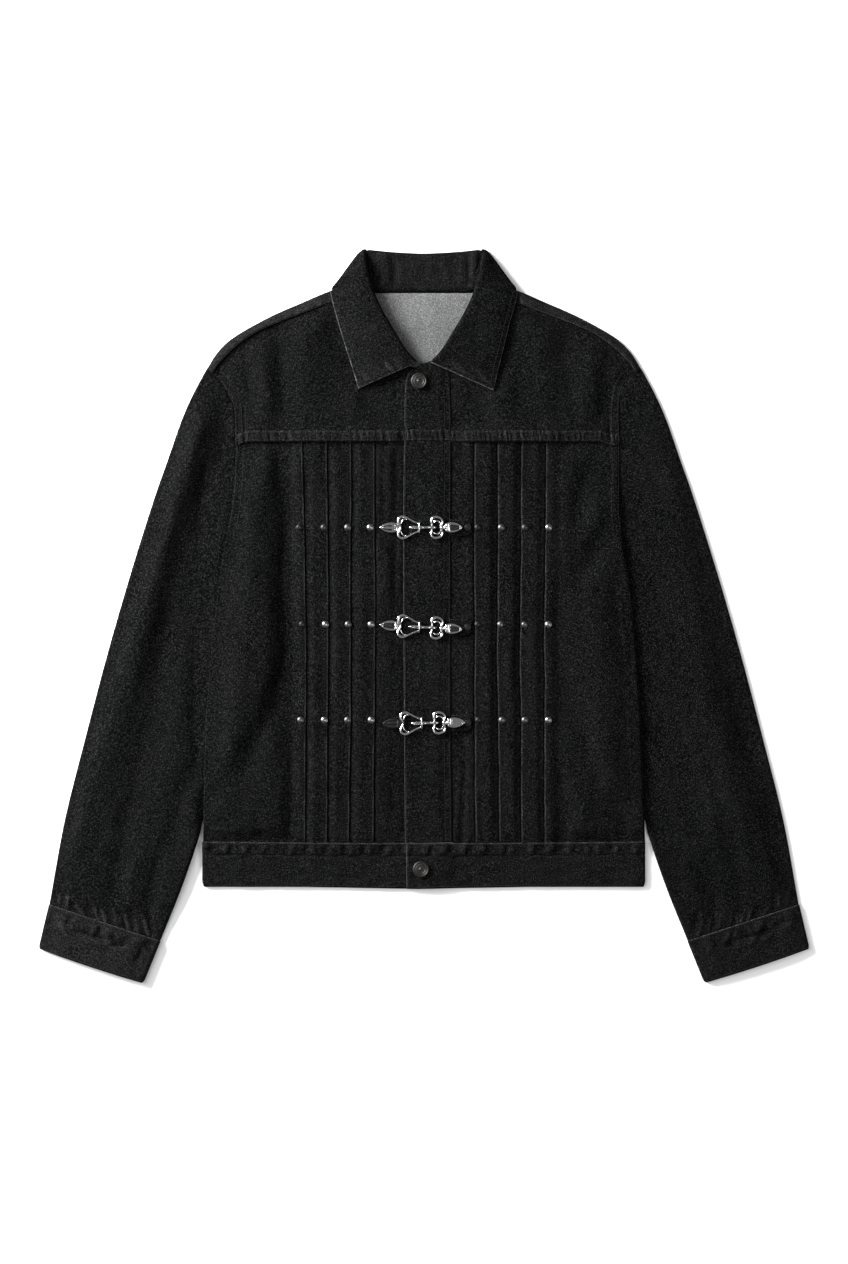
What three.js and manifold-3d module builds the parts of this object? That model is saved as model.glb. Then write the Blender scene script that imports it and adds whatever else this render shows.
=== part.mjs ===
// Denim jacket, laid flat on its back with the front up. Millimetres, +Z up,
// +X to the viewer's right, +Y towards the collar.
import * as THREE from 'three';
import { mergeVertices } from 'three/addons/utils/BufferGeometryUtils.js';
import Module from 'manifold-3d';

const wasm = await Module();
wasm.setup();

// ---------------------------------------------------------------- sizes
const CLOTH = 1.2;            // single layer of heavy denim
const BAND = 2.2;             // doubled cloth: collar, cuffs, waistband, front band
const LAYER_GAP = 0.5;        // air between layers that lie on each other
const SEAM_GAP = 0.3;         // between pieces at a seam
const FRONT_LIFT = CLOTH + LAYER_GAP;          // underside of the fronts above the back
const SLEEVE_FOLD = 3.1;      // height of the sleeve where the body lies on it
const SLEEVE_BULGE = 3.0;     // extra height in the middle of the sleeve
const BODY_ON_SLEEVE = 3.7;   // how far the body's side is lifted by the sleeve
const BODY_ON_COLLAR = 2.9;   // how far the yoke is lifted by the collar behind the neck
const PLEAT_DEPTH = 10;       // under-fold of each pleat
const PLEAT_PITCH = 1.6;      // layer to layer in a pleat
const YOKE_SEAM = 184.4;      // y of the chest seam
const BACK_YOKE_SEAM = 172.7; // y of the back yoke's lower seam
const BAND_TOP = -237.8;      // y of the waistband seam
const BAND_BOTTOM = -284.0;   // y of the hem at the sides
const BAND_BOTTOM_CF = -286.1;
const BAND_ENDS = { over: -14.7, under: 14.0, left: -232.1, right: 235.2 };
const PLACKET_TOP_Z = FRONT_LIFT + CLOTH + LAYER_GAP + BAND;
const BUTTON_D = 17.0, BUTTON_H = 4.0;
const RIVET_D = 7.3, RIVET_H = 1.6;
const CLASP_T = 3.0;

// ---------------------------------------------------------------- tables
// The body's edge: armhole above the underarm, side seam below it.
const BODY_EDGE = [
  { y: 259.9, left: -227.9, right: 227.9 },
  { y: 252.5, left: -219.0, right: 218.4 },
  { y: 241.0, left: -210.0, right: 208.4 },
  { y: 220.0, left: -199.8, right: 204.8 },
  { y: 184.4, left: -197.8, right: 205.3 },
  { y: 143.3, left: -199.0, right: 205.3 },
  { y: 110.8, left: -202.1, right: 204.8 },
  { y: 80.3, left: -207.9, right: 208.4 },
  { y: 42.5, left: -214.2, right: 214.2 },
  { y: -24.7, left: -222.6, right: 222.1 },
  { y: -104.5, left: -228.9, right: 227.6 },
  { y: -184.3, left: -231.0, right: 230.4 },
  { y: -237.8, left: -232.1, right: 232.3 },
];
// The shoulder's fold line, from the neck to the armhole, either side of the centre.
const SHOULDER = [
  { half: 62.5, y: 344.0 },
  { half: 70.0, y: 346.6 },
  { half: 82.0, y: 345.4 },
  { half: 98.2, y: 341.6 },
  { half: 125.0, y: 330.6 },
  { half: 161.7, y: 314.5 },
  { half: 198.5, y: 293.9 },
  { half: 216.3, y: 277.7 },
  { half: 227.5, y: 260.4 },
];
// Where the back yoke, wrapped forward, meets the front yoke.
const STRIP_SEAM = [
  { half: 66.0, y: 337.0 },
  { half: 98.2, y: 329.2 },
  { half: 161.7, y: 305.7 },
  { half: 191.1, y: 289.3 },
  { half: 214.6, y: 267.2 },
  { half: 222.5, y: 255.8 },
];
const SLEEVE_OUTER = [
  { half: 228.4, y: 260.2 },
  { half: 242.0, y: 233.6 },
  { half: 254.1, y: 206.3 },
  { half: 268.8, y: 164.3 },
  { half: 283.5, y: 122.3 },
  { half: 309.8, y: 38.3 },
  { half: 333.9, y: -45.7 },
  { half: 355.9, y: -129.7 },
  { half: 376.9, y: -213.7 },
  { half: 393.2, y: -302.9 },
];
// The sleeve's inner fold: it passes under the body's side and comes out at the hem.
const SLEEVE_INNER = [
  { half: 206.6, y: 80.0 },
  { half: 204.0, y: 67.0 },
  { half: 193.2, y: 48.0 },
  { half: 176.4, y: 17.3 },
  { half: 170.1, y: -24.7 },
  { half: 177.5, y: -77.2 },
  { half: 193.2, y: -134.9 },
  { half: 213.2, y: -184.0 },
  { half: 228.0, y: -206.5 },
  { half: 233.6, y: -216.0 },
  { half: 237.0, y: -232.0 },
  { half: 255.2, y: -285.1 },
  { half: 277.7, y: -340.7 },
];
const CUFF = {
  topOuter: { half: 393.4, y: -303.3 }, topInner: { half: 277.9, y: -341.1 },
  lowOuter: { half: 404.2, y: -349.1 }, lowInner: { half: 295.6, y: -384.8 },
};
// Fold edges of the pleats at the chest seam, half way down and at the waistband.
const PLEATS = {
  left: [
    { top: -128.1, middle: -123.9, bottom: -125.5 },
    { top: -101.9, middle: -100.8, bottom: -102.4 },
    { top: -77.2, middle: -77.2, bottom: -78.8 },
    { top: -52.5, middle: -51.5, bottom: -53.6 },
  ],
  right: [
    { top: 128.8, middle: 127.1, bottom: 127.1 },
    { top: 103.2, middle: 101.5, bottom: 103.2 },
    { top: 78.4, middle: 77.7, bottom: 79.5 },
    { top: 53.6, middle: 53.6, bottom: 54.6 },
  ],
};
const PLACKET = [
  { y: 262.5, edge: -2.0, seam: 24.6 },
  { y: 258.5, edge: -12.5, seam: 25.6 },
  { y: 251.0, edge: -18.0, seam: 26.9 },
  { y: 195.8, edge: -21.0, seam: 28.2 },
  { y: 60.0, edge: -21.8, seam: 27.8 },
  { y: -90.0, edge: -21.0, seam: 27.8 },
  { y: -237.4, edge: -19.9, seam: 29.4 },
];
const RIVETS = [
  { row: 1, y: 93.5, left: [-130.8, -105.0, -80.1, -56.4], right: [56.6, 81.2, 106.2, 131.0] },
  { row: 2, y: -8.3, left: [-127.8, -103.5, -79.6, -55.4], right: [56.6, 80.6, 105.5, 130.6] },
  { row: 3, y: -108.7, left: [-129.5, -104.6, -80.2, -55.4], right: [57.2, 82.0, 106.0, 130.6] },
];
const CLASPS = [
  { row: 1, x: -5.2, y: 93.5, tilt: 0 },
  { row: 2, x: -5.2, y: -11.0, tilt: -3 },
  { row: 3, x: -2.6, y: -111.8, tilt: 1 },
];
// The collar in sections from the front end of a leaf round to the centre back.
// seam: neck seam; roll: roll line; fold: where the leaf turns under beside the neck
// (none: it doesn't); edge: the leaf's outer edge. x is the distance from the centre.
const COLLAR = [
  { seam: [11.6, 263.6, 3.9], roll: [7.4, 266.2, 6.8, 8.4], edge: [69.3, 238.9, 5.2] },
  { seam: [25.2, 272.5, 3.7], roll: [18.9, 278.8, 7.0, 8.8], edge: [75.1, 260.9, 5.8] },
  { seam: [39.9, 290.3, 4.3], roll: [32.6, 301.9, 7.2, 9.2], edge: [80.9, 283.0, 6.9] },
  { seam: [52.5, 311.3, 5.3], roll: [43.1, 320.8, 7.4, 9.6], edge: [86.6, 304.0, 8.0] },
  { seam: [60.0, 329.2, 5.7], roll: [51.5, 339.7, 7.6, 9.8], edge: [92.4, 323.9, 8.4] },
  { seam: [60.5, 337.5, 5.8], roll: [55.7, 355.4, 7.4, 9.8], edge: [98.0, 344.6, 8.2] },
  { seam: [59.0, 340.0, 5.8], roll: [58.4, 361.5, 7.4, 9.6], fold: [93.0, 353.0], edge: [97.0, 350.4, 1.5] },
  { seam: [56.0, 342.4, 6.0], roll: [59.9, 368.0, 7.2, 9.2], fold: [85.0, 358.6], edge: [89.0, 338.0, 1.1] },
  { seam: [52.0, 343.0, 6.1], roll: [64.0, 377.5, 6.4, 8.2], fold: [76.0, 370.5], edge: [76.6, 329.0, 1.1] },
  { seam: [44.0, 341.6, 4.9], roll: [58.5, 382.6, 3.4, 1.4], edge: [54.6, 325.0, 1.1] },
  { seam: [28.0, 341.4, 4.3], roll: [33.0, 382.0, 3.2, 1.3], edge: [30.5, 323.9, 1.1] },
  { seam: [0.0, 341.4, 4.1], roll: [0.0, 380.1, 3.2, 1.3], edge: [0.0, 322.9, 1.1] },
];

// ---------------------------------------------------------------- helpers
const clamp01 = (t) => Math.min(1, Math.max(0, t));
const smooth = (t) => { const c = clamp01(t); return c * c * (3 - 2 * c); };
const mix = (a, b, t) => a + (b - a) * t;

function column(rows, key, y) {            // linear look-up by y, rows run downwards
  if (y >= rows[0].y) return rows[0][key];
  for (let i = 1; i < rows.length; i += 1) {
    if (y >= rows[i].y) {
      return mix(rows[i][key], rows[i - 1][key], (y - rows[i].y) / (rows[i - 1].y - rows[i].y));
    }
  }
  return rows[rows.length - 1][key];
}

function polyline(points) {                // t in 0..1 by length along straight pieces
  const path = new THREE.CurvePath();
  for (let i = 1; i < points.length; i += 1) {
    path.add(new THREE.LineCurve(new THREE.Vector2(...points[i - 1]), new THREE.Vector2(...points[i])));
  }
  return (t) => { const p = path.getPoint(clamp01(t)); return [p.x, p.y]; };
}

function stepped(points) {                 // t in 0..1, each straight piece an equal share
  const n = points.length - 1;
  return (t) => {
    const i = Math.min(n - 1, Math.floor(clamp01(t) * n + 1e-9)), f = clamp01(t) * n - i;
    return [0, 1].map((k) => mix(points[i][k], points[i + 1][k], f));
  };
}

function spline(points) {
  const curve = new THREE.SplineCurve(points.map((p) => new THREE.Vector2(...p)));
  return (t) => { const p = curve.getPointAt(clamp01(t)); return [p.x, p.y]; };
}

// A patch between four edge curves: low(u), high(u), start(v), end(v).
function patch(low, high, start, end) {
  return (u, v) => [0, 1].map((k) => (
    mix(low(u)[k], high(u)[k], v) + mix(start(v)[k], end(v)[k], u)
    - mix(mix(low(0)[k], low(1)[k], u), mix(high(0)[k], high(1)[k], u), v)));
}

// A closed wall between two grids of points of equal size, grid[row][i] = [x, y, z].
function wall(upper, lower, { ring = false } = {}) {
  const rows = upper.length, n = upper[0].length, position = [], index = [];
  for (const grid of [upper, lower]) for (const row of grid) for (const p of row) position.push(...p);
  const up = (j, i) => j * n + (i % n), lo = (j, i) => rows * n + j * n + (i % n);
  const quad = (a, b, c, d) => index.push(a, b, c, a, c, d);
  const last = ring ? n : n - 1;
  for (let j = 0; j < rows - 1; j += 1) {
    for (let i = 0; i < last; i += 1) {
      quad(up(j, i), up(j, i + 1), up(j + 1, i + 1), up(j + 1, i));
      quad(lo(j, i), lo(j + 1, i), lo(j + 1, i + 1), lo(j, i + 1));
    }
    if (!ring) {
      quad(up(j, 0), up(j + 1, 0), lo(j + 1, 0), lo(j, 0));
      quad(up(j, n - 1), lo(j, n - 1), lo(j + 1, n - 1), up(j + 1, n - 1));
    }
  }
  for (let i = 0; i < last; i += 1) {
    quad(up(0, i), lo(0, i), lo(0, i + 1), up(0, i + 1));
    quad(up(rows - 1, i), up(rows - 1, i + 1), lo(rows - 1, i + 1), lo(rows - 1, i));
  }
  return outward(position, index);
}

function outward(position, index) {        // turns the faces out if the volume is negative
  let volume = 0;
  const p = (i) => new THREE.Vector3(position[3 * i], position[3 * i + 1], position[3 * i + 2]);
  for (let i = 0; i < index.length; i += 3) {
    volume += p(index[i]).dot(p(index[i + 1]).cross(p(index[i + 2])));
  }
  const faces = volume >= 0 ? index : index.map((_, i) => index[i - (i % 3) + [0, 2, 1][i % 3]]);
  const geometry = new THREE.BufferGeometry();
  geometry.setAttribute('position', new THREE.Float32BufferAttribute(position, 3));
  geometry.setIndex(faces);
  return geometry;
}

function offsetPath(path, distance) {      // 2-D mitred offset to the left of the path
  return path.map((p, i) => {
    const before = path[Math.max(0, i - 1)], after = path[Math.min(path.length - 1, i + 1)];
    const here = new THREE.Vector2(...p);
    const a = i > 0 ? here.clone().sub(new THREE.Vector2(...before)).normalize() : null;
    const b = i < path.length - 1 ? new THREE.Vector2(...after).sub(here).normalize() : null;
    const na = a ? new THREE.Vector2(-a.y, a.x) : null, nb = b ? new THREE.Vector2(-b.y, b.x) : null;
    if (!na || !nb) { const n = na || nb; return [p[0] + n.x * distance, p[1] + n.y * distance]; }
    const m = na.clone().add(nb).normalize();
    const k = distance / Math.max(0.5, m.dot(na));
    return [p[0] + m.x * k, p[1] + m.y * k];
  });
}

function manifold(geometry) {
  const bare = geometry.clone();
  for (const name of ['normal', 'uv']) if (bare.getAttribute(name)) bare.deleteAttribute(name);
  const merged = mergeVertices(bare, 1e-4);
  return new wasm.Manifold(new wasm.Mesh({
    numProp: 3,
    vertProperties: Float32Array.from(merged.getAttribute('position').array),
    triVerts: Uint32Array.from(merged.getIndex().array),
  }));
}

function joined(...geometries) {
  const solid = geometries.map(manifold).reduce((a, b) => a.add(b));
  const mesh = solid.getMesh();
  const geometry = new THREE.BufferGeometry();
  geometry.setAttribute('position', new THREE.Float32BufferAttribute(Array.from(mesh.vertProperties), 3));
  geometry.setIndex(Array.from(mesh.triVerts));
  return geometry;
}

// ---------------------------------------------------------------- what lies under what
const UNDERARM = 92;                       // where the sleeve's inner fold goes under the side
const sleeveInnerHalf = (y) => Math.min(190, column(SLEEVE_INNER, 'half', y)) + Math.max(0, column(SLEEVE_INNER, 'half', y) - 190) * clamp01((30 - y) / 40);

// How far the lowest layer of the body is lifted off the floor.
function ground(x, y) {
  const inside = Math.abs(x) - sleeveInnerHalf(y);      // over the sleeve where positive
  const along = smooth((150 - y) / 42) * (1 - 0.8 * smooth((-212 - y) / 22));
  const side = BODY_ON_SLEEVE * smooth((inside + 30) / 27) * along;
  const sideLow = y < -222 ? BODY_ON_SLEEVE * smooth((Math.abs(x) - 200) / 27) * along : 0;
  const neck = BODY_ON_COLLAR * smooth((y - 284) / 30) * (1 - smooth((Math.abs(x) - 102) / 30));
  return Math.max(side, sideLow, neck);
}
const neckRoom = (x, y) => 0.9 * smooth((y - 262) / 18) * (1 - smooth((Math.abs(x) - 118) / 25));

// Rows of the body below the chest seam, and columns near its side, shared by back and front
// so that the two layers stay parallel.
const BODY_ROWS = [YOKE_SEAM - SEAM_GAP / 2, 143.3, 127, 110.8, UNDERARM, 80.3, 42.5, -24.7, -104.5, -184.3, -212, -223,
  BAND_TOP + SEAM_GAP];
const sideColumns = (y, side) => {
  const edge = column(BODY_EDGE, side, y), sign = side === 'left' ? -1 : 1;
  const inner = Math.min(Math.abs(edge) - 4, sleeveInnerHalf(y));
  return [0, 1].map((k) => mix(Math.abs(edge), inner - 3, k)).concat([inner - 12, inner - 21, inner - 31])
    .map((x) => sign * x);
};

const root = new THREE.Group();
function add(name, geometry, material) {
  const mesh = new THREE.Mesh(geometry, material.clone());
  mesh.name = name;
  root.add(mesh);
  return mesh;
}
const denim = new THREE.MeshStandardMaterial({ color: 0x1d1d20, roughness: 0.92, metalness: 0 });
const chrome = new THREE.MeshStandardMaterial({ color: 0xd4d6d8, roughness: 0.12, metalness: 1 });
const gunmetal = new THREE.MeshStandardMaterial({ color: 0x55575c, roughness: 0.35, metalness: 1 });
const nickel = new THREE.MeshStandardMaterial({ color: 0x9fa1a4, roughness: 0.3, metalness: 1 });

// ---------------------------------------------------------------- back
function layer(grid, low, high) {
  return wall(grid.map((row) => row.map(([x, y]) => [x, y, high(x, y)])),
    grid.map((row) => row.map(([x, y]) => [x, y, low(x, y)])));
}
{
  const rows = [BACK_YOKE_SEAM - SEAM_GAP / 2, ...BODY_ROWS.slice(1)];
  const grid = rows.map((y) => [...sideColumns(y, 'left'), -60, 60, ...sideColumns(y, 'right').reverse()]
    .map((x) => [x, y]));
  add('back_panel', layer(grid, ground, (x, y) => ground(x, y) + CLOTH), denim);
}
{
  const y0 = BACK_YOKE_SEAM + SEAM_GAP / 2;
  const edge = (side) => BODY_EDGE.filter((r) => r.y > y0 && r.y < 259).map((r) => [r[side], r.y]).reverse();
  const ends = { left: column(BODY_EDGE, 'left', y0), right: column(BODY_EDGE, 'right', y0) };
  const top = [...SHOULDER].reverse().map((r) => [-r.half, r.y])
    .concat([[-52, 339.6], [52, 339.6]], SHOULDER.map((r) => [r.half, r.y]));
  const surface = patch(
    polyline([[ends.left, y0], [ends.right, y0]]), polyline(top),
    stepped([[ends.left, y0], ...edge('left'), top[0]]),
    stepped([[ends.right, y0], ...edge('right'), top[top.length - 1]]));
  const n = edge('left').length + 1;
  const grid = Array.from({ length: n + 1 }, (_, j) => Array.from({ length: 29 }, (_, i) => surface(i / 28, j / n)));
  const sheet = layer(grid, ground, (x, y) => ground(x, y) + CLOTH);
  const folds = [-1, 1].map((sign) => {
    const shoulder = spline(SHOULDER.map((r) => [sign * r.half, r.y]));
    const seam = spline(STRIP_SEAM.map((r) => [sign * r.half, r.y]));
    const sections = Array.from({ length: 13 }, (_, i) => {
      const t = mix(0.06, 0.985, i / 12);
      const [sx, sy] = shoulder(t), [ex, ey] = seam(t);
      const d = Math.hypot(ex - sx, ey - sy), ux = (ex - sx) / d, uy = (ey - sy) / d;
      const g = ground(sx, sy), room = neckRoom(sx, sy);
      const mid = FRONT_LIFT + CLOTH / 2 + room;
      const path = [[Math.min(7, 0.7 * d), 0.6], [1.4, 0.6], [0.6, mid / 2 + 0.3], [1.4, mid], [d - SEAM_GAP, mid]];
      const upper = offsetPath(path, 0.6), lower = offsetPath(path, -0.6);
      upper[0][1] = 0.15; upper[1][1] = 0.15; lower[0][1] = 1.05;
      const place = ([a, z]) => [sx + ux * a, sy + uy * a, z + g];
      return { upper: upper.map(place), lower: lower.map(place) };
    });
    return wall(sections.map((s) => s.upper), sections.map((s) => s.lower));
  });
  add('back_yoke', joined(sheet, ...folds), denim);
}

// ---------------------------------------------------------------- front yokes
for (const side of ['left', 'right']) {
  const sign = side === 'left' ? -1 : 1;
  const y0 = YOKE_SEAM + SEAM_GAP / 2;
  const inner = side === 'left' ? 14 : column(PLACKET, 'seam', 200) + SEAM_GAP;
  const neck = COLLAR.slice(0, 6).map((r) => [sign * (r.seam[0] + 1.3), r.seam[1] - 2.0]).reverse();
  const seam = STRIP_SEAM.map((r) => [sign * r.half, r.y - 0.15]);
  const neckStart = [sign * 66.0, 336.7];
  const last = side === 'left' ? [[13.8, 240], [13.5, 261.4]]
    : [[column(PLACKET, 'seam', 251) + 0.4, 251], [column(PLACKET, 'seam', 262) + 0.7, 269.5]];
  const front = side === 'left' ? neck.slice(1, 6) : neck.slice(1, 5);
  const edge = BODY_EDGE.filter((r) => r.y > y0 && r.y < 255).map((r) => [r[side], r.y]).reverse();
  const bottom = [[column(BODY_EDGE, side, y0), y0], [inner, y0]];
  const top = [...seam].reverse();
  top[top.length - 1] = neckStart;
  const armhole = [[column(BODY_EDGE, side, y0), y0], ...edge, top[0]];
  const centre = [[inner, y0], ...last, ...front.reverse(), neckStart];
  const surface = patch(polyline(bottom), polyline(top), stepped(armhole), polyline(centre));
  const n = 2 * (armhole.length - 1);
  const grid = Array.from({ length: n + 1 }, (_, j) => Array.from({ length: 13 }, (_, i) => surface(i / 12, j / n)));
  const low = (x, y) => ground(x, y) + FRONT_LIFT + neckRoom(x, y);
  add(`front_yoke_${side}`, layer(grid, low, (x, y) => low(x, y) + CLOTH), denim);
}

// ---------------------------------------------------------------- pleated fronts
for (const side of ['left', 'right']) {
  const sign = side === 'left' ? -1 : 1;
  const rows = BODY_ROWS.map((y) => {
    const folds = PLEATS[side].map((p) => {
      const t = (YOKE_SEAM - y) / (YOKE_SEAM - BAND_TOP);
      return sign * (t < 0.5 ? mix(p.top, p.middle, t * 2) : mix(p.middle, p.bottom, t * 2 - 1));
    });                                              // distances from the centre, falling
    const low = CLOTH / 2, up = low + PLEAT_PITCH, high = up + PLEAT_PITCH;
    const path = sideColumns(y, side).map((x) => [-sign * x, low]);
    for (const f of folds) {
      const under = f + PLEAT_DEPTH;
      path.push([-under, high], [-f, high], [-f, up], [-under, up], [-under, low], [-(f - 1.5), low]);
    }
    path.push([-(side === 'left' ? -14 : column(PLACKET, 'seam', y) + SEAM_GAP), low]);
    const place = ([a, z]) => {
      const x = -sign * a;
      return [x, y, ground(x, y) + FRONT_LIFT + z];
    };
    const both = [CLOTH / 2, -CLOTH / 2].map((k) => offsetPath(path, k).map(place));
    if (side === 'right') both.forEach((row) => row.reverse());    // same order as the back
    return { upper: both[0], lower: both[1] };
  });
  add(`front_${side}`, wall(rows.map((r) => r.upper), rows.map((r) => r.lower)), denim);
}

// ---------------------------------------------------------------- front band
{
  const bottom = FRONT_LIFT + CLOTH + LAYER_GAP;
  const rows = PLACKET.map((r) => {
    const xs = [r.edge, r.edge + 1.5, Math.min(15.5, mix(r.edge, r.seam, 0.75)), r.seam - 1.2, r.seam];
    const zs = [0.3, 0, 0, -1.4, -1.5];
    return {
      lower: xs.map((x, i) => [x, r.y, bottom + zs[i]]),
      upper: xs.map((x, i) => [x, r.y, bottom + BAND + (i === 0 ? -0.5 : zs[i])]),
    };
  });
  add('placket', wall(rows.map((r) => r.upper), rows.map((r) => r.lower)), denim);
}

// ---------------------------------------------------------------- waistband
// One strip: from the overlapping front end round both sides to the end beneath it.
{
  const t = BAND / 2, up = BAND + LAYER_GAP;
  const e = BAND_ENDS;
  const path = [
    [e.over, t + 2 * up], [12, t + 2 * up], [24, t + 1.6 * up], [34, t + up], [120, t + up],
    [e.right - 1.2, t + up], [e.right, t + up / 2], [e.right - 1.2, t], [120, t], [0, t], [-120, t],
    [e.left + 1.2, t], [e.left, t + up / 2], [e.left + 1.2, t + up], [-120, t + up], [0, t + up], [e.under, t + up],
  ];
  const lift = (x) => 0.9 * smooth((Math.abs(x) - 205) / 22);
  const rowAt = (s) => {
    const grow = s > 0.85 ? -1.6 * ((s - 0.85) / 0.15) ** 2 : 0;      // rounded lower corners
    const place = (p) => {
      const x = p[0] * (1 + grow / 235);
      const end = mix(BAND_BOTTOM_CF, BAND_BOTTOM, clamp01(Math.abs(x + 8) / 120));
      return [x, mix(BAND_TOP - SEAM_GAP / 2, end, s), p[1] + lift(x) * (1 - s)];
    };
    return { upper: offsetPath(path, t).map(place), lower: offsetPath(path, -t).map(place) };
  };
  const rows = [0, 0.3, 0.85, 1].map(rowAt);
  add('waistband', wall(rows.map((r) => r.upper), rows.map((r) => r.lower)), denim);
}

// ---------------------------------------------------------------- flattened tubes
// The sleeve and the cuff are tubes pressed flat: each ring runs over the top from the outer
// fold to the inner one and back along the floor.
function flatTube(rings, thickness, cells) {
  const make = (inset) => rings.map(({ at, width, top, base = 0 }) => {
    const upper = [], under = [];
    const distances = [1.6, ...Array.from({ length: cells - 1 }, (_, i) => ((i + 1) / cells) * width), width - 1.6];
    distances.forEach((d) => {
      const edge = Math.min(d, width - d);
      const inner = inset ? Math.max(edge, 1.6 + thickness) : edge;
      const dd = d < width / 2 ? inner : width - inner;
      const [x, y] = at(dd / width);
      upper.push([x, y, top(x, y) - (inset ? thickness : 0) - (edge < 2 ? 0.1 : 0)]);
      under.push([x, y, base + (inset ? thickness : 0)]);
    });
    const tip = (d) => { const [x, y] = at(d / width); return [x, y, base + top(x, y) / 2]; };
    const reach = inset ? thickness + 0.3 : 0;
    return [tip(reach), ...upper, tip(width - reach), ...under.reverse()];
  });
  return wall(make(false), make(true), { ring: true });
}

for (const side of ['left', 'right']) {
  const sign = side === 'left' ? -1 : 1;
  const gap = 1.5 * SEAM_GAP * sign;
  const start = [sign * SLEEVE_OUTER[0].half, SLEEVE_OUTER[0].y];
  const a1 = [column(BODY_EDGE, side, UNDERARM) + 1.5 * gap, UNDERARM];
  const corners = BODY_EDGE.filter((r) => r.y > UNDERARM && r.y < 255).map((r) => [r[side] + gap, r.y]);
  const arm = stepped([start, ...corners, a1]);
  const outer = spline(SLEEVE_OUTER.map((r) => [sign * r.half, r.y]));
  const inner = spline([a1, ...SLEEVE_INNER.map((r) => [sign * r.half, r.y])]);
  const cuffLine = polyline([[sign * 393.2, -302.9], [sign * 277.7, -340.7]]);
  const surface = patch(outer, inner, arm, cuffLine);        // u along the sleeve, v across it
  const stations = [0, 0.04, 0.09, 0.15, 0.22, 0.3, 0.4, 0.5, 0.6, 0.7, 0.78, 0.84, 0.88, 0.93, 1];
  const rings = stations.map((s) => {
    const at = (c) => surface(s, c);
    const [ax, ay] = at(0), [bx, by] = at(1);
    const width = Math.hypot(bx - ax, by - ay);
    const top = (x, y) => {
      const clear = Math.abs(x) - Math.abs(column(BODY_EDGE, side, y)) - 5;
      const beside = y < BAND_TOP ? 1 : smooth(clear / 26);
      const fromOuter = smooth(Math.hypot(x - ax, y - ay) / 26);
      return SLEEVE_FOLD + SLEEVE_BULGE * beside * fromOuter * smooth(s / 0.12) * (1 - 0.5 * smooth((s - 0.9) / 0.1));
    };
    return { at, width, top };
  });
  add(`sleeve_${side}`, flatTube(rings, CLOTH, corners.length + 1), denim);

  const c = CUFF;
  const corner = (p) => [sign * p.half, p.y];
  const cuff = [0, 0.08, 0.85, 1].map((s) => {
    const a = [0, 1].map((k) => mix(corner(c.topOuter)[k], corner(c.lowOuter)[k], s));
    const b = [0, 1].map((k) => mix(corner(c.topInner)[k], corner(c.lowInner)[k], s));
    return {
      at: (t) => [mix(a[0], b[0], t), mix(a[1], b[1], t)],
      width: Math.hypot(b[0] - a[0], b[1] - a[1]),
      top: () => 2 * BAND + 0.9,
    };
  });
  add(`cuff_${side}`, flatTube(cuff, BAND, 6), denim);
}

// ---------------------------------------------------------------- collar
{
  const half = COLLAR.map((r) => {
    const [sx, sy, sz] = r.seam, [rx, ry, rlow, rhigh] = r.roll, [ex, ey, ez] = r.edge;
    const goes = new THREE.Vector2(sx - rx, sy - ry).normalize();
    const step = 2.2;
    const points = [
      [sx, sy, sz], [mix(sx, rx, 0.5), mix(sy, ry, 0.5), mix(sz, Math.min(rlow, rhigh), 0.4)],
    ];
    const under = rhigh < rlow;                        // at the back the leaf lies beneath
    const zIn = under ? 5.2 : rlow - 1.6, zOut = rhigh;
    const out = r.fold || [ex, ey];
    const leaf = new THREE.Vector2(out[0] - rx, out[1] - ry).normalize();
    points.push([rx + goes.x * step, ry + goes.y * step, zIn]);
    points.push([rx, ry, (zIn + zOut) / 2]);
    const near = [rx + leaf.x * step, ry + leaf.y * step, zOut];
    points.push(near);
    if (r.fold) {
      const [fx, fy] = r.fold;
      const back = new THREE.Vector2(ex - fx, ey - fy).normalize();
      const zTop = Math.max(7.6, ez), tip = mix(zTop, ez, 0.5);
      points.push([mix(rx, fx, 0.55), mix(ry, fy, 0.55), mix(zOut, zTop, 0.6)]);
      points.push([fx - leaf.x * step, fy - leaf.y * step, zTop - 0.2]);
      points.push([fx, fy, tip]);
      points.push([fx + back.x * step, fy + back.y * step, Math.min(tip, ez + 0.1)]);
      points.push([ex, ey, ez]);
    } else {
      for (const k of [0.3, 0.5, 0.7, 0.85, 1]) {
        points.push([mix(near[0], ex, k), mix(near[1], ey, k), mix(zOut, ez, k)]);
      }
    }
    return points;
  });
  const left = half.map((s) => s.map(([x, y, z]) => [-x, y, z]));
  const right = half.map((s) => s.map(([x, y, z]) => [x, y, z])).reverse().slice(1);
  const mid = [...left, ...right];
  const normals = mid.map((row, j) => row.map((_, i) => {
    const at = (jj, ii) => new THREE.Vector3(...mid[Math.min(mid.length - 1, Math.max(0, jj))][Math.min(row.length - 1, Math.max(0, ii))]);
    return at(j + 1, i).sub(at(j - 1, i)).cross(at(j, i + 1).sub(at(j, i - 1))).normalize();
  }));
  const side = (k) => mid.map((row, j) => row.map((p, i) => {
    const n = normals[j][i];
    return [p[0] + n.x * k, p[1] + n.y * k, p[2] + n.z * k];
  }));
  add('collar', wall(side(BAND / 2), side(-BAND / 2)), denim);
}

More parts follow.
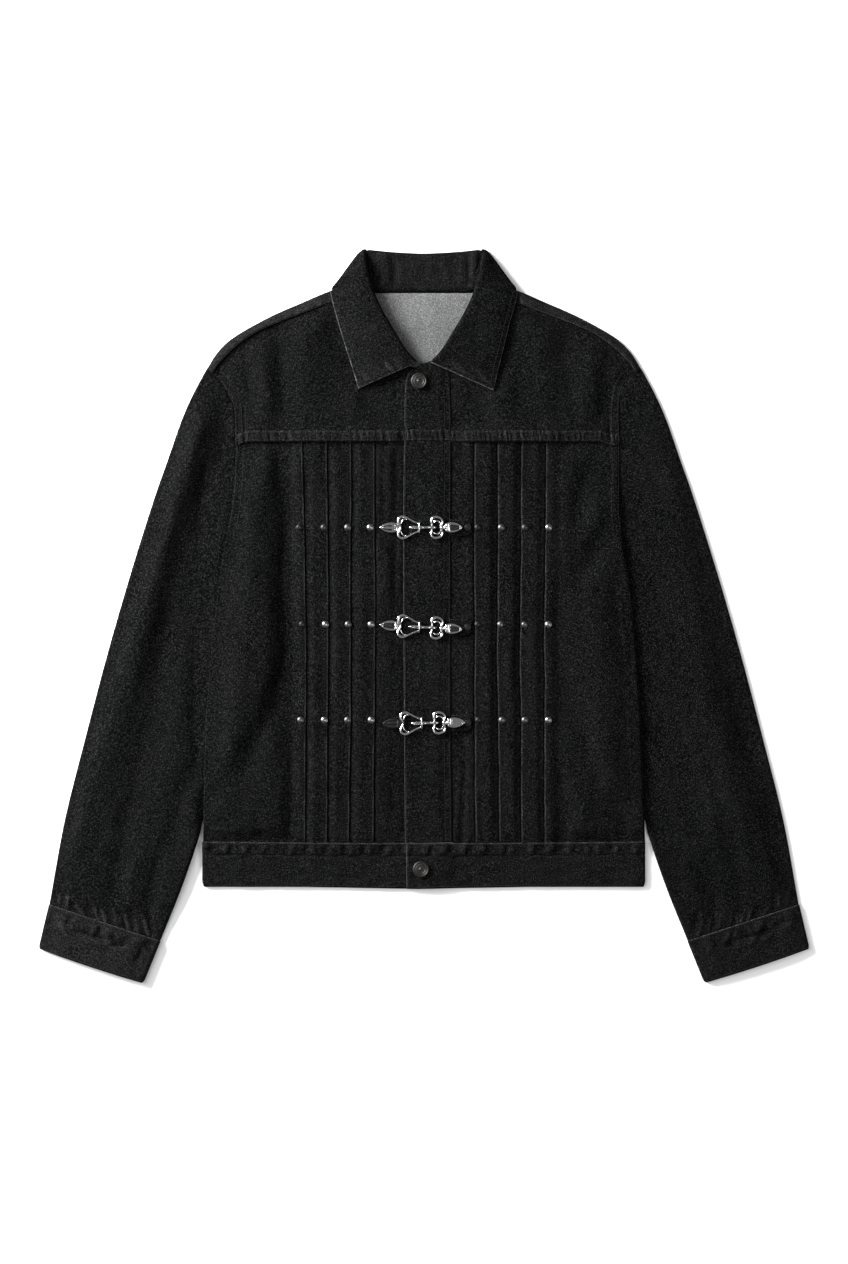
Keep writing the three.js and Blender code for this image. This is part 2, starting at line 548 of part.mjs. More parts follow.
// ---------------------------------------------------------------- buttons and rivets
function turned(profile, segments) {        // profile as [radius, height], axis up
  return new THREE.LatheGeometry(profile.map(([r, z]) => new THREE.Vector2(r, z)), segments).rotateX(Math.PI / 2);
}
function placed(name, geometry, material, x, y, z) {
  const mesh = add(name, geometry, material);
  mesh.position.set(x, y, z);
  return mesh;
}
const BUTTON_PROFILE = [
  [0, 0], [0.3 * BUTTON_D, 0], [0.32 * BUTTON_D, 0.3 * BUTTON_H], [0.47 * BUTTON_D, 0.32 * BUTTON_H],
  [0.5 * BUTTON_D, 0.55 * BUTTON_H], [0.48 * BUTTON_D, 0.85 * BUTTON_H], [0.42 * BUTTON_D, 0.95 * BUTTON_H],
  [0.39 * BUTTON_D, 0.8 * BUTTON_H], [0.2 * BUTTON_D, 0.95 * BUTTON_H], [0, BUTTON_H],
];
placed('button_top', turned(BUTTON_PROFILE, 24), gunmetal, -5.2, 247.3, PLACKET_TOP_Z + SEAM_GAP);
placed('button_bottom', turned(BUTTON_PROFILE, 24), gunmetal, -3.2, -265.1, 3 * BAND + 2 * LAYER_GAP + SEAM_GAP);

const RIVET_PROFILE = [[0, 0], [0.5 * RIVET_D, 0], [0.47 * RIVET_D, 0.45 * RIVET_H], [0.28 * RIVET_D, 0.85 * RIVET_H], [0, RIVET_H]];
for (const r of RIVETS) {
  for (const side of ['left', 'right']) {
    r[side].forEach((x, i) => {
      placed(`rivet_${side}_${r.row}_${i + 1}`, turned(RIVET_PROFILE, 10), nickel,
        x, r.y, FRONT_LIFT + CLOTH + 2 * PLEAT_PITCH + SEAM_GAP);
    });
  }
}

// ---------------------------------------------------------------- straps and clasps
function slab(outline, holes, thickness) {  // outline and holes as lists of [x, y]
  const shape = new THREE.Shape(outline.map((p) => new THREE.Vector2(...p)));
  for (const hole of holes) shape.holes.push(new THREE.Path(hole.map((p) => new THREE.Vector2(...p))));
  return new THREE.ExtrudeGeometry(shape, { depth: thickness, bevelEnabled: false, steps: 1 });
}
const oval = (cx, cy, rx, ry, n, from = 0, to = 2 * Math.PI) => Array.from({ length: n }, (_, i) => {
  const a = mix(from, to, i / (to - from > 6.28 ? n : n - 1));
  return [cx + rx * Math.cos(a), cy + ry * Math.sin(a)];
});
const leafOutline = (from, to, half, n = 6) => {       // pointed at `to`, blunt at `from`
  const up = Array.from({ length: n }, (_, i) => {
    const t = i / (n - 1);
    return [mix(from, to, t), half * Math.sin(Math.PI * mix(0.22, 1, t) ** 0.8)];
  });
  up[n - 1][1] = 0;
  return [...up, ...up.slice(0, n - 1).reverse().map(([x, y]) => [x, -y])];
};
const LOOP = { from: -23.5, to: 1.8, half: 12.2 };
const loopOutline = [
  [1.8, 3.2], [-4.5, 5.4], [-9.5, 9.4], [-14.5, 12.2], [-19.5, 12.2], [-23.0, 9.2], [-23.4, 5.0], [-20.8, 1.5],
  [-20.8, -1.5], [-23.4, -5.0], [-23.0, -9.2], [-19.5, -12.2], [-14.5, -12.2], [-9.5, -9.4], [-4.5, -5.4], [1.8, -3.2]];
const loopHole = [[-5.5, 2.3], [-10.8, 6.4], [-15.4, 8.6], [-18.3, 7.2], [-18.3, 4.6], [-17.2, 0], [-18.3, -4.6],
  [-18.3, -7.2], [-15.4, -8.6], [-10.8, -6.4], [-5.5, -2.3]];
const bodyZ = PLACKET_TOP_Z + SEAM_GAP;
for (const c of CLASPS) {
  const hook = joined(
    slab(leafOutline(-19.5, -41.0, 5.3), [], 1.6),
    slab(loopOutline, [loopHole], CLASP_T),
    slab([[-1.6, -6.3], [1.6, -6.3], [1.6, 6.3], [-1.6, 6.3]], [], CLASP_T + 1.0),
    slab([[-8.0, -1.6], [18.4, -1.6], [18.4, 1.6], [-8.0, 1.6]], [], 0.8).translate(0, 0, CLASP_T + 0.3 - 0.6),
    slab([[16.2, -1.6], [18.4, -1.6], [18.4, 1.6], [16.2, 1.6]], [], CLASP_T - 0.6).translate(0, 0, 0.5),
  );
  const ringOuter = [...oval(17.5, 0, 5.6, 12.2, 9, Math.PI / 2, 1.5 * Math.PI), [24.0, -11.4], [27.0, -6.0], [27.0, 6.0], [24.0, 11.4]];
  const ring = joined(
    slab(ringOuter, [oval(19.6, 0, 4.6, 6.6, 12)], CLASP_T - 0.7),
    slab([[24.5, -4.8], [31.0, -4.2], [31.0, 4.2], [24.5, 4.8]], [], CLASP_T + 1.6),
    slab(leafOutline(29.0, 45.0, 5.3), [], 1.6).translate(0, 0, 2.4),
  );
  for (const [name, geometry] of [['clasp_hook', hook], ['clasp_ring', ring]]) {
    const mesh = placed(`${name}_${c.row}`, geometry, chrome, c.x, c.y, bodyZ);
    mesh.rotation.z = THREE.MathUtils.degToRad(c.tilt);
  }
  const tab = (x0, x1, h) => [[x0, -h], [x1 - h * 0.6, -h], [x1, -0.5 * h], [x1, 0.5 * h], [x1 - h * 0.6, h], [x0, h]];
  placed(`strap_left_${c.row}`, slab(tab(-50.2, -22.4, 5.8), [], 1.8), denim, 0, c.y, FRONT_LIFT + CLOTH + SEAM_GAP + 0.1);
  placed(`strap_right_${c.row}`, slab(tab(c.x + 31.7, 50.2, 8.2), [], 1.8), denim, 0, c.y, bodyZ);
  placed(`snap_${c.row}`, turned([[0, 0], [3.4, 0], [3.2, 0.7], [2.2, 1.2], [0, 1.3]], 12), gunmetal, 46.0, c.y, bodyZ + 1.8 + SEAM_GAP);
}

// Origin under the middle of the whole garment.
root.updateMatrixWorld(true);
const extent = new THREE.Box3().setFromObject(root);
root.position.set(-(extent.min.x + extent.max.x) / 2, -(extent.min.y + extent.max.y) / 2, -extent.min.z);

export default root;
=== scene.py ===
# Denim jacket laid flat: cloth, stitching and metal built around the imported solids.
# Sizes below are millimetres; meshes are written in metres.
import math
import bpy
import numpy as np
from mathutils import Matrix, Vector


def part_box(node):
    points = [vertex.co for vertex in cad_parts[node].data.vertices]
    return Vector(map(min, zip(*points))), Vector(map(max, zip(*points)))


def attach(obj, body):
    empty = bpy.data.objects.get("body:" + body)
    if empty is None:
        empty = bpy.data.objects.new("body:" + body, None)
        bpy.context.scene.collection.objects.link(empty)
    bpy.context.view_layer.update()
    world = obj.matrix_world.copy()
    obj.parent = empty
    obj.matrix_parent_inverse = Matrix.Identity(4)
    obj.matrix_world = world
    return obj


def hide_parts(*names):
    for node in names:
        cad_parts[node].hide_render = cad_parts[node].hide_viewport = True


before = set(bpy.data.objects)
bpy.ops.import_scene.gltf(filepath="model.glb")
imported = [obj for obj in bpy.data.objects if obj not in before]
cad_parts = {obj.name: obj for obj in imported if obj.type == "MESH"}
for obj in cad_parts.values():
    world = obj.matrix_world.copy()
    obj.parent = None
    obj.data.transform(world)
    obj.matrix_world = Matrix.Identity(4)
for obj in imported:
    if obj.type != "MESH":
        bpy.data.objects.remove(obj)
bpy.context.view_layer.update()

_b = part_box("button_top")
SHIFT_X = (_b[0][0] + _b[1][0]) * 500.0 + 5.2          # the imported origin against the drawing's
SHIFT_Y = (_b[0][1] + _b[1][1]) * 500.0 - 247.3

# ------------------------------------------------------------------ sizes (mm)
CLOTH, BAND, LAYER_GAP = 1.2, 2.2, 0.5
FRONT_LIFT = CLOTH + LAYER_GAP
SLEEVE_FOLD, BODY_ON_SLEEVE, BODY_ON_COLLAR = 3.1, 3.7, 2.9
PLEAT_DEPTH, PLEAT_PITCH = 10.0, 1.6
YOKE_SEAM, BACK_YOKE_SEAM = 184.4, 172.7
BAND_TOP, BAND_BOTTOM, BAND_BOTTOM_CF = -237.8, -284.0, -286.1
BAND_OVER, BAND_UNDER, BAND_LEFT, BAND_RIGHT = -18.4, 14.0, -232.1, 231.6
PLACKET_TOP_Z = FRONT_LIFT + CLOTH + LAYER_GAP + BAND

BODY_EDGE = np.array([   # y, left, right
    [259.9, -227.9, 227.9], [252.5, -219.0, 218.4], [241.0, -210.0, 208.4], [220.0, -199.8, 204.8],
    [184.4, -197.8, 205.3], [143.3, -199.0, 205.3], [110.8, -202.1, 204.8], [80.3, -207.9, 208.4],
    [42.5, -214.2, 214.2], [-24.7, -222.6, 222.1], [-104.5, -228.9, 227.6], [-184.3, -231.0, 230.4],
    [-237.8, -232.1, 232.3]])
SHOULDER = [  # half, y
    [62.5, 344.0], [70.0, 346.6], [82.0, 345.4], [98.2, 341.6], [125.0, 330.6], [161.7, 314.5],
    [198.5, 293.9], [216.3, 277.7], [227.5, 260.4]]
STRIP_SEAM = [  # half, y
    [66.0, 337.0], [98.2, 329.2], [161.7, 305.7], [191.1, 289.3], [214.6, 267.2], [222.5, 255.8]]
SLEEVE_OUTER = [
    [228.4, 260.2], [242.0, 233.6], [254.1, 206.3], [268.8, 164.3], [283.5, 122.3], [309.8, 38.3],
    [333.9, -45.7], [355.9, -129.7], [376.9, -213.7], [393.2, -302.9]]
SLEEVE_INNER = [
    [206.6, 80.0], [204.0, 67.0], [193.2, 48.0], [176.4, 17.3], [170.1, -24.7], [177.5, -77.2],
    [193.2, -134.9], [213.2, -184.0], [228.0, -206.5], [233.6, -216.0], [237.0, -232.0],
    [255.2, -285.1], [277.7, -340.7]]
CUFF = dict(top_outer=(393.4, -303.3), top_inner=(277.9, -341.1), low_outer=(404.2, -349.1), low_inner=(295.6, -384.8))
PLEATS = dict(   # distance of each fold edge from the centre: chest seam, middle, waistband
    left=[[128.1, 123.9, 125.5], [101.9, 100.8, 102.4], [77.2, 77.2, 78.8], [52.5, 51.5, 53.6]],
    right=[[128.8, 127.1, 127.1], [103.2, 101.5, 103.2], [78.4, 77.7, 79.5], [53.6, 53.6, 54.6]])
PLACKET = np.array([  # y, edge, seam
    [262.5, -2.0, 24.6], [258.5, -12.5, 25.6], [251.0, -18.0, 26.9], [195.8, -21.0, 28.2],
    [60.0, -21.8, 27.8], [-90.0, -21.0, 27.8], [-237.4, -19.9, 29.4]])
RIVETS = [  # y, then the left and right rows
    [93.5, [-130.8, -105.0, -80.1, -56.4], [56.6, 81.2, 106.2, 131.0]],
    [-8.3, [-127.8, -103.5, -79.6, -55.4], [56.6, 80.6, 105.5, 130.6]],
    [-108.7, [-129.5, -104.6, -80.2, -55.4], [57.2, 82.0, 106.0, 130.6]]]
CLASPS = [[-5.2, 93.5, 0.0], [-5.2, -11.0, -3.0], [-2.6, -111.8, 1.0]]   # x, y, tilt
COLLAR = [  # seam, roll (x, y, lower z, upper z), fold or None, edge
    ([11.6, 263.6, 3.9], [7.4, 266.2, 6.8, 9.4], None, [69.0, 239.1, 5.2]),
    ([25.2, 272.5, 3.7], [19.4, 279.2, 7.0, 11.4], None, [75.4, 260.9, 5.8]),
    ([39.9, 290.3, 4.3], [33.6, 302.3, 7.2, 13.0], None, [82.4, 283.0, 6.9]),
    ([52.5, 311.3, 5.3], [44.6, 321.3, 7.4, 13.8], None, [88.9, 304.0, 8.0]),
    ([60.0, 329.2, 5.7], [53.0, 340.2, 7.6, 14.2], None, [94.5, 323.9, 8.4]),
    ([60.5, 337.5, 5.8], [57.4, 354.6, 7.4, 14.0], None, [98.4, 340.6, 8.2]),
    ([60.0, 338.7, 5.8], [58.9, 358.8, 7.4, 14.4], [95.8, 344.9], [96.0, 341.6, 2.9]),
    ([59.0, 340.0, 5.8], [59.9, 362.9, 7.4, 14.4], [91.6, 349.8], [92.6, 341.5, 1.5]),
    ([56.0, 342.4, 6.0], [60.8, 369.6, 7.2, 13.6], [84.6, 359.2], [86.2, 336.5, 1.1]),
    ([52.0, 343.0, 6.1], [61.8, 376.6, 6.4, 10.8], [75.6, 370.6], [76.4, 329.0, 1.1]),
    ([49.5, 342.6, 5.8], [61.4, 381.4, 6.0, 7.6], [69.0, 378.4], [69.2, 327.6, 1.1]),
    ([47.0, 342.1, 5.0], [60.2, 383.1, 5.0, 5.2], [64.4, 382.0], [62.0, 326.2, 1.1]),
    ([45.6, 341.8, 4.6], [58.6, 383.5, 4.2, 3.6], [61.2, 382.9], [58.4, 325.6, 1.1]),
    ([44.0, 341.6, 4.1], [55.4, 383.7, 3.4, 1.4], None, [54.6, 325.0, 1.1]),
    ([28.0, 341.4, 3.5], [33.0, 381.6, 3.2, 1.3], None, [30.5, 323.9, 1.1]),
    ([0.0, 341.4, 3.3], [0.0, 380.1, 3.2, 1.3], None, [0.0, 322.9, 1.1])]

# The main creases, as soft troughs (height below 0) and ridges, from (x0, y0) to (x1, y1).
BODY_CREASES = np.array([
    # x0, y0, x1, y1, half-width, height
    [-151, 177, -140, 72, 11, -2.2], [-140, 72, -137, -44, 12, -2.4], [-137, -44, -168, -113, 12, -2.6], [-168, -113, -214, -194, 12, -2.2],
    [-122, 182, -160, 60, 10, 0.9], [-182, 150, -172, 20, 16, 1.1], [-190, -30, -205, -160, 11, 1.0],
    [-139, -190, -136, -236, 7, -0.8], [-150, -150, -148, -230, 9, 0.9], [-175, -205, -168, -238, 6, -0.9],
    [-195, 110, -176, 60, 9, -0.9], [196, 100, 170, 46, 11, -2.2], [170, 46, 160, -50, 13, -1.0], [182, 110, 160, 70, 9, 0.8],
    [176, 170, 160, 96, 12, -1.1], [150, 176, 146, 40, 10, 0.9], [204, 40, 216, -60, 9, -1.2],
    [160, -20, 172, -150, 16, -1.0], [190, -60, 198, -190, 12, 0.9], [146, -170, 150, -236, 7, -1.1],
    [166, -196, 176, -238, 6, 0.7], [205, -190, 214, -236, 7, -0.9]])
YOKE_CREASES = np.array([
    [-152, 300, -146, 200, 12, -1.3], [-172, 292, -160, 215, 10, 0.9], [-126, 318, -118, 232, 15, 0.9],
    [-96, 322, -92, 212, 12, -0.9], [-186, 262, -176, 200, 7, -0.8], [-60, 250, -52, 196, 9, -0.8],
    [-74, 238, -70, 200, 8, 0.6], [150, 302, 154, 204, 13, -1.2], [128, 318, 122, 224, 12, 0.9],
    [178, 286, 170, 206, 10, 0.9], [192, 262, 186, 200, 7, -0.9], [100, 322, 104, 214, 12, -0.8],
    [58, 246, 62, 198, 9, -0.8], [40, 258, 42, 205, 7, 0.6]])
SLEEVE_L_CREASES = np.array([
    [-227, 160, -235, -80, 8, -2.8], [-235, -80, -240, -180, 8, -2.4],
    [-236, 205, -269, 80, 8, 0.9], [-269, 80, -296, -30, 8, 1.0], [-296, -30, -330, -170, 12, 1.0], [-330, -170, -352, -290, 13, 0.9],
    [-222, 190, -252, 80, 9, -0.7], [-252, 80, -278, -30, 10, -0.8], [-278, -30, -304, -160, 12, -0.9], [-252, 40, -262, -110, 13, 0.9], [-246, -160, -268, -250, 9, -1.5], [-300, -170, -322, -300, 12, -1.2],
    [-346, -130, -374, -262, 9, 0.9], [-324, -200, -340, -300, 8, 0.8], [-300, -230, -312, -310, 7, 0.9],
    [-276, -240, -290, -318, 8, -1.2], [-284, -60, -306, -150, 8, 0.7], [-352, -60, -342, -120, 7, -0.7]])
SLEEVE_R_CREASES = np.array([
    [213, 232, 221, 100, 10, -3.0], [221, 100, 236, -20, 11, -2.7], [236, -20, 250, -140, 11, -2.2],
    [254, 205, 272, 90, 14, 1.2], [272, 90, 296, -60, 15, 0.9], [296, -60, 322, -210, 15, 0.8],
    [286, 170, 322, 10, 12, -1.6], [322, 10, 352, -150, 12, -1.4], [272, -110, 292, -230, 9, -1.3],
    [246, -150, 262, -236, 8, 1.0], [300, -60, 340, -230, 11, 0.9], [318, -200, 334, -300, 9, -1.1], [344, -190, 368, -290, 9, 0.8],
    [300, -240, 306, -312, 7, -0.9], [278, -256, 292, -322, 7, 0.9]])

GATHERS = np.array([   # short folds standing over the cuff seam, left side; mirrored for the right
    [-373.8, -292.6, -374.5, -306.0, 1.4, 0.9], [-365.4, -303.1, -357.0, -314.4, 1.4, 0.9], [-346.2, -306.3, -341.0, -320.7, 1.5, 1.0],
    [-338.7, -308.3, -333.4, -322.7, 1.4, 0.9], [-314.0, -311.6, -309.8, -329.0, 1.5, 1.0], [-294.2, -317.8, -288.6, -335.9, 1.5, 1.0],
    [-382.0, -290.0, -384.0, -302.0, 1.4, 0.6], [-325.0, -309.0, -323.0, -324.0, 1.4, 0.5], [-303.0, -318.0, -300.0, -332.0, 1.4, 0.6],
    [-369.0, -296.0, -369.0, -308.0, 2.6, -0.9], [-352.5, -304.0, -349.0, -317.0, 3.0, -1.0], [-330.0, -308.0, -327.5, -323.0, 2.8, -0.8],
    [-306.5, -314.0, -305.0, -330.0, 2.6, -0.9], [-289.5, -306.0, -284.5, -332.0, 3.2, -1.4]])
CUFF_CREASES = np.array([
    [-367.6, -330.6, -332.2, -340.3, 2.6, -1.5], [-330.1, -344.6, -311.9, -346.7, 2.6, -1.3], [-349.7, -336.0, -341.9, -325.3, 2.6, 1.2],
    [-386.0, -318.0, -372.0, -324.0, 3.0, -0.9], [-322.0, -334.0, -317.0, -343.0, 2.6, 1.0], [-306.0, -343.0, -298.0, -353.0, 2.8, 0.9],
    [-380.0, -325.0, -375.0, -314.0, 2.6, 0.8], [-296.0, -349.0, -302.0, -362.0, 2.8, -1.0], [-388.0, -332.0, -370.0, -344.0, 4.0, -0.6],
    [-352.0, -346.0, -330.0, -356.0, 4.0, -0.6], [-360.0, -322.0, -356.0, -330.0, 2.4, 0.8], [-333.0, -329.0, -329.0, -337.0, 2.4, 0.8]])

rng = np.random.default_rng(7)


def smooth(t):
    t = np.clip(t, 0.0, 1.0)
    return t * t * (3 - 2 * t)


def table(rows, key, y):
    a = np.asarray(rows, float)
    o = np.argsort(a[:, 0 if key is None else 0])
    return np.interp(y, a[o, 0], a[o, key])


def by_y(rows, col, y):                      # rows of [half, y] or [y, ...] looked up by y
    a = np.asarray(rows, float)
    yc = 1 if a.shape[1] == 2 else 0
    o = np.argsort(a[:, yc])
    return np.interp(y, a[o, yc], a[o, col])


def ground(x, y):                            # how far the lowest layer is lifted off the floor
    inner = by_y(SLEEVE_INNER, 0, y)
    inner = np.minimum(190, inner) + np.maximum(0, inner - 190) * np.clip((30 - y) / 40, 0, 1)
    inside = np.abs(x) - inner
    along = smooth((150 - y) / 42) * (1 - 0.8 * smooth((-212 - y) / 22))
    side = BODY_ON_SLEEVE * smooth((inside + 30) / 27) * along
    low = np.where(y < -222, BODY_ON_SLEEVE * smooth((np.abs(x) - 200) / 27) * along, 0)
    neck = BODY_ON_COLLAR * smooth((y - 284) / 30) * (1 - smooth((np.abs(x) - 102) / 30))
    return np.maximum(np.maximum(side, low), neck)


def neck_room(x, y):
    return 0.9 * smooth((y - 262) / 18) * (1 - smooth((np.abs(x) - 118) / 25))


def creases(rows, x, y, wander=1.0):
    z = np.zeros_like(x)
    for x0, y0, x1, y1, w, h in rows:
        dx, dy = x1 - x0, y1 - y0
        ln = math.hypot(dx, dy)
        t = ((x - x0) * dx + (y - y0) * dy) / ln ** 2
        d = np.abs((x - x0) * dy - (y - y0) * dx) / ln
        wob = 2.2 * np.sin(t * 5.1 + x0) + 1.2 * np.sin(t * 11 + y0)
        d = np.abs(d + wob * 0.5 * wander)
        reach = 1.6 * w / ln
        ends = smooth((t + reach) / (2.2 * reach)) * smooth((1 + reach - t) / (2.2 * reach))
        z += h * np.exp(-(d / w) ** 2) * ends
    return z


def waves(x, y, period, seed, n=14, squash=1.0):     # soft noise, about +-1
    r = np.random.default_rng(seed)
    z = np.zeros_like(x, dtype=float)
    for _ in range(n):
        a, p = r.uniform(0, math.pi), r.uniform(0, 2 * math.pi)
        k = 2 * math.pi / (period * r.uniform(0.65, 1.7))
        z += np.sin(k * (x * math.cos(a) + y * squash * math.sin(a)) + p)
    return z / math.sqrt(n / 2) * 0.6


def ripple(s, period, seed, n=9):                    # 1-D noise along a seam, about +-1
    r = np.random.default_rng(seed)
    z = np.zeros_like(s, dtype=float)
    for _ in range(n):
        z += np.sin(2 * math.pi * s / (period * r.uniform(0.6, 2.1)) + r.uniform(0, 6.28)) * r.uniform(0.5, 1)
    return z / math.sqrt(n / 2) * 0.75


def pts_len(p):
    p = np.asarray(p, float)
    d = np.r_[0, np.cumsum(np.linalg.norm(np.diff(p, axis=0), axis=1))]
    return d


def poly(points):                                    # t in 0..1 by length, straight pieces
    p = np.asarray(points, float)
    d = pts_len(p)
    return lambda t: np.stack([np.interp(np.clip(t, 0, 1) * d[-1], d, p[:, k]) for k in range(p.shape[1])], -1)


def catmull(p, t):                                   # p (n, k), t in 0..n-1
    p = np.asarray(p, float)
    n = len(p)
    i = np.clip(np.floor(t).astype(int), 0, n - 2)
    f = (t - i)[:, None]
    f = f.reshape(f.shape[0], *([1] * (p.ndim - 1)))
    g = lambda k: p[np.clip(k, 0, n - 1)]
    p0, p1, p2, p3 = g(i - 1), g(i), g(i + 1), g(i + 2)
    p0 = np.where((i - 1 < 0).reshape(f.shape), 2 * p1 - p2, p0)
    p3 = np.where((i + 2 > n - 1).reshape(f.shape), 2 * p2 - p1, p3)
    return 0.5 * (2 * p1 + (p2 - p0) * f + (2 * p0 - 5 * p1 + 4 * p2 - p3) * f ** 2 + (3 * p1 - p0 - 3 * p2 + p3) * f ** 3)


def curve(points, n=400):                            # smooth curve, t in 0..1 by length
    p = catmull(points, np.linspace(0, len(points) - 1, n))
    return poly(p)


def patch(low, high, start, end, U, V):              # Coons patch -> grid[v][u]
    u, v = np.meshgrid(U, V)
    L, H, S, E = low(U)[None], high(U)[None], start(V)[:, None], end(V)[:, None]
    u, v = u[..., None], v[..., None]
    c00, c10, c01, c11 = low(np.array([0.]))[0], low(np.array([1.]))[0], high(np.array([0.]))[0], high(np.array([1.]))[0]
    return (L * (1 - v) + H * v) + (S * (1 - u) + E * u) - ((c00 * (1 - u) + c10 * u) * (1 - v) + (c01 * (1 - u) + c11 * u) * v)


def dense(n, lo=0.0, hi=0.0, length=100.0):          # 0..1 with extra lines near the ends
    base = np.linspace(0, 1, n)
    extra = []
    for side, on in ((0, lo), (1, hi)):
        if on:
            e = np.array([0.35, 0.8, 1.4, 2.1]) * on / length
            extra.append(e if side == 0 else 1 - e)
    return np.unique(np.round(np.concatenate([base] + extra), 7))


# ------------------------------------------------------------------ meshes
class Part:
    def __init__(self):
        self.v, self.f, self.m, self.wear, self.n = [], [], [], [], 0

    def add(self, v, f, m=0, wear=None):
        v = np.asarray(v, float).reshape(-1, 3)
        f = np.asarray(f, int)
        self.v.append(v)
        self.f.append((f + self.n, np.full(len(f), m) if np.isscalar(m) else np.asarray(m)))
        self.wear.append(np.zeros(len(v)) if wear is None else np.asarray(wear, float).reshape(-1))
        self.n += len(v)


def build(name, part, mats, smooth_shade=True, sharp=None):
    v = np.concatenate(part.v)
    v = (v + np.array([SHIFT_X, SHIFT_Y, 0.0])) * 0.001
    loops, starts, totals, mi, pos = [], [], [], [], 0
    for f, m in part.f:
        k = f.shape[1]
        loops.append(f.reshape(-1))
        starts.append(pos + np.arange(len(f)) * k)
        totals.append(np.full(len(f), k))
        mi.append(m)
        pos += f.size
    me = bpy.data.meshes.new(name)
    loops = np.concatenate(loops)
    me.vertices.add(len(v))
    me.vertices.foreach_set("co", v.astype(np.float32).reshape(-1))
    me.loops.add(len(loops))
    me.loops.foreach_set("vertex_index", loops.astype(np.int32))
    starts = np.concatenate(starts)
    me.polygons.add(len(starts))
    me.polygons.foreach_set("loop_start", starts.astype(np.int32))
    me.polygons.foreach_set("loop_total", np.concatenate(totals).astype(np.int32))
    me.polygons.foreach_set("material_index", np.concatenate(mi).astype(np.int32))
    me.polygons.foreach_set("use_smooth", np.full(len(starts), smooth_shade))
    at = me.attributes.new("wear", "FLOAT", "POINT")
    at.data.foreach_set("value", np.concatenate(part.wear).astype(np.float32))
    me.update(calc_edges=True)
    me.validate()
    for m in mats:
        me.materials.append(m)
    o = bpy.data.objects.new(name, me)
    bpy.context.scene.collection.objects.link(o)
    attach(o, "root")
    return o


def normals(g, ring=False):
    if ring:
        dc = np.roll(g, -1, 1) - np.roll(g, 1, 1)
    else:
        dc = np.gradient(g, axis=1)
    dr = np.gradient(g, axis=0)
    n = np.cross(dc, dr)
    return n / np.maximum(np.linalg.norm(n, axis=2, keepdims=True), 1e-9)


def grid_faces(r, c, ring=False, off=0):
    j, i = np.meshgrid(np.arange(r - 1), np.arange(c if ring else c - 1), indexing="ij")
    i2 = (i + 1) % c
    return np.stack([off + j * c + i, off + j * c + i2, off + (j + 1) * c + i2, off + (j + 1) * c + i], -1).reshape(-1, 4)


def shell(part, g, t, wear=None, up=True, ring=False, mats=(0, 0), edge=None, sign=None):
    """Adds a wall of thickness t around the middle surface g[row][col]; returns its upper grid.
    edge: rounding radius at the open sides, as (row start, row end, column start, column end)."""
    r, c = g.shape[:2]
    n = normals(g, ring)
    if sign is None:
        sign = 1.0 if (np.mean(n[..., 2]) > 0) == up else -1.0
    n = n * sign
    k = np.ones((r, c))
    if edge:
        dr = np.linalg.norm(np.diff(g, axis=0), axis=2)
        dcl = np.linalg.norm(np.diff(g, axis=1), axis=2)
        runs = [np.vstack([np.zeros((1, c)), np.cumsum(dr, 0)]),
                np.vstack([np.cumsum(dr[::-1], 0)[::-1], np.zeros((1, c))]),
                np.hstack([np.zeros((r, 1)), np.cumsum(dcl, 1)]),
                np.hstack([np.cumsum(dcl[:, ::-1], 1)[:, ::-1], np.zeros((r, 1))])]
        for d, rad in zip(runs, edge):
            if rad:
                q = 1 - np.clip(d / rad, 0, 1)
                k = np.minimum(k, np.sqrt(np.maximum(0, 1 - q * q)) * 0.85 + 0.15)
    th = (t * k / 2)[..., None]
    hi, lo = g + n * th, g - n * th
    v = np.concatenate([hi.reshape(-1, 3), lo.reshape(-1, 3)])
    w = np.zeros(2 * r * c)
    if wear is not None:
        w[:r * c] = wear.reshape(-1)
        w[r * c:] = wear.reshape(-1) * (0.0 if mats[1] != mats[0] else 1.0)
    top = grid_faces(r, c, ring)
    bot = grid_faces(r, c, ring, r * c)[:, ::-1]
    if sign < 0:
        top, bot = top[:, ::-1], bot[:, ::-1]
    rims = []
    H = lambda j, i: j * c + i
    L = lambda j, i: r * c + j * c + i
    ii = np.arange(c if ring else c - 1)
    i2 = (ii + 1) % c
    rims.append(np.stack([H(0, ii), L(0, ii), L(0, i2), H(0, i2)], -1))
    rims.append(np.stack([H(r - 1, ii), H(r - 1, i2), L(r - 1, i2), L(r - 1, ii)], -1))
    if not ring:
        jj = np.arange(r - 1)
        rims.append(np.stack([H(jj, 0), H(jj + 1, 0), L(jj + 1, 0), L(jj, 0)], -1))
        rims.append(np.stack([H(jj, c - 1), L(jj, c - 1), L(jj + 1, c - 1), H(jj + 1, c - 1)], -1))
    rims = np.concatenate(rims)
    if sign < 0:
        rims = rims[:, ::-1]
    f = np.concatenate([top, bot, rims])
    m = np.concatenate([np.full(len(top), mats[0]), np.full(len(bot), mats[1]), np.full(len(rims), mats[0])])
    part.add(v, f, m, w)
    return hi


def along_edge(hi, side, d, a=0.0, b=1.0, n=None):
    """A line on the surface hi at distance d from its row/column side, from share a to b of it."""
    g = {"row0": hi, "row1": hi[::-1], "col0": hi.transpose(1, 0, 2), "col1": hi.transpose(1, 0, 2)[::-1]}[side]
    dist = np.vstack([np.zeros((1, g.shape[1])), np.cumsum(np.linalg.norm(np.diff(g, axis=0), axis=2), 0)])
    out = np.empty((g.shape[1], 3))
    for i in range(g.shape[1]):
        for k in range(3):
            out[i, k] = np.interp(d, dist[:, i], g[:, i, k])
    f = poly(out)
    t = np.linspace(a, b, n or 3 * len(out))
    return f(t)


STITCH_RING = np.array([[math.cos(a), math.sin(a)] for a in np.linspace(0, 2 * math.pi, 5)[:-1] + 0.785])


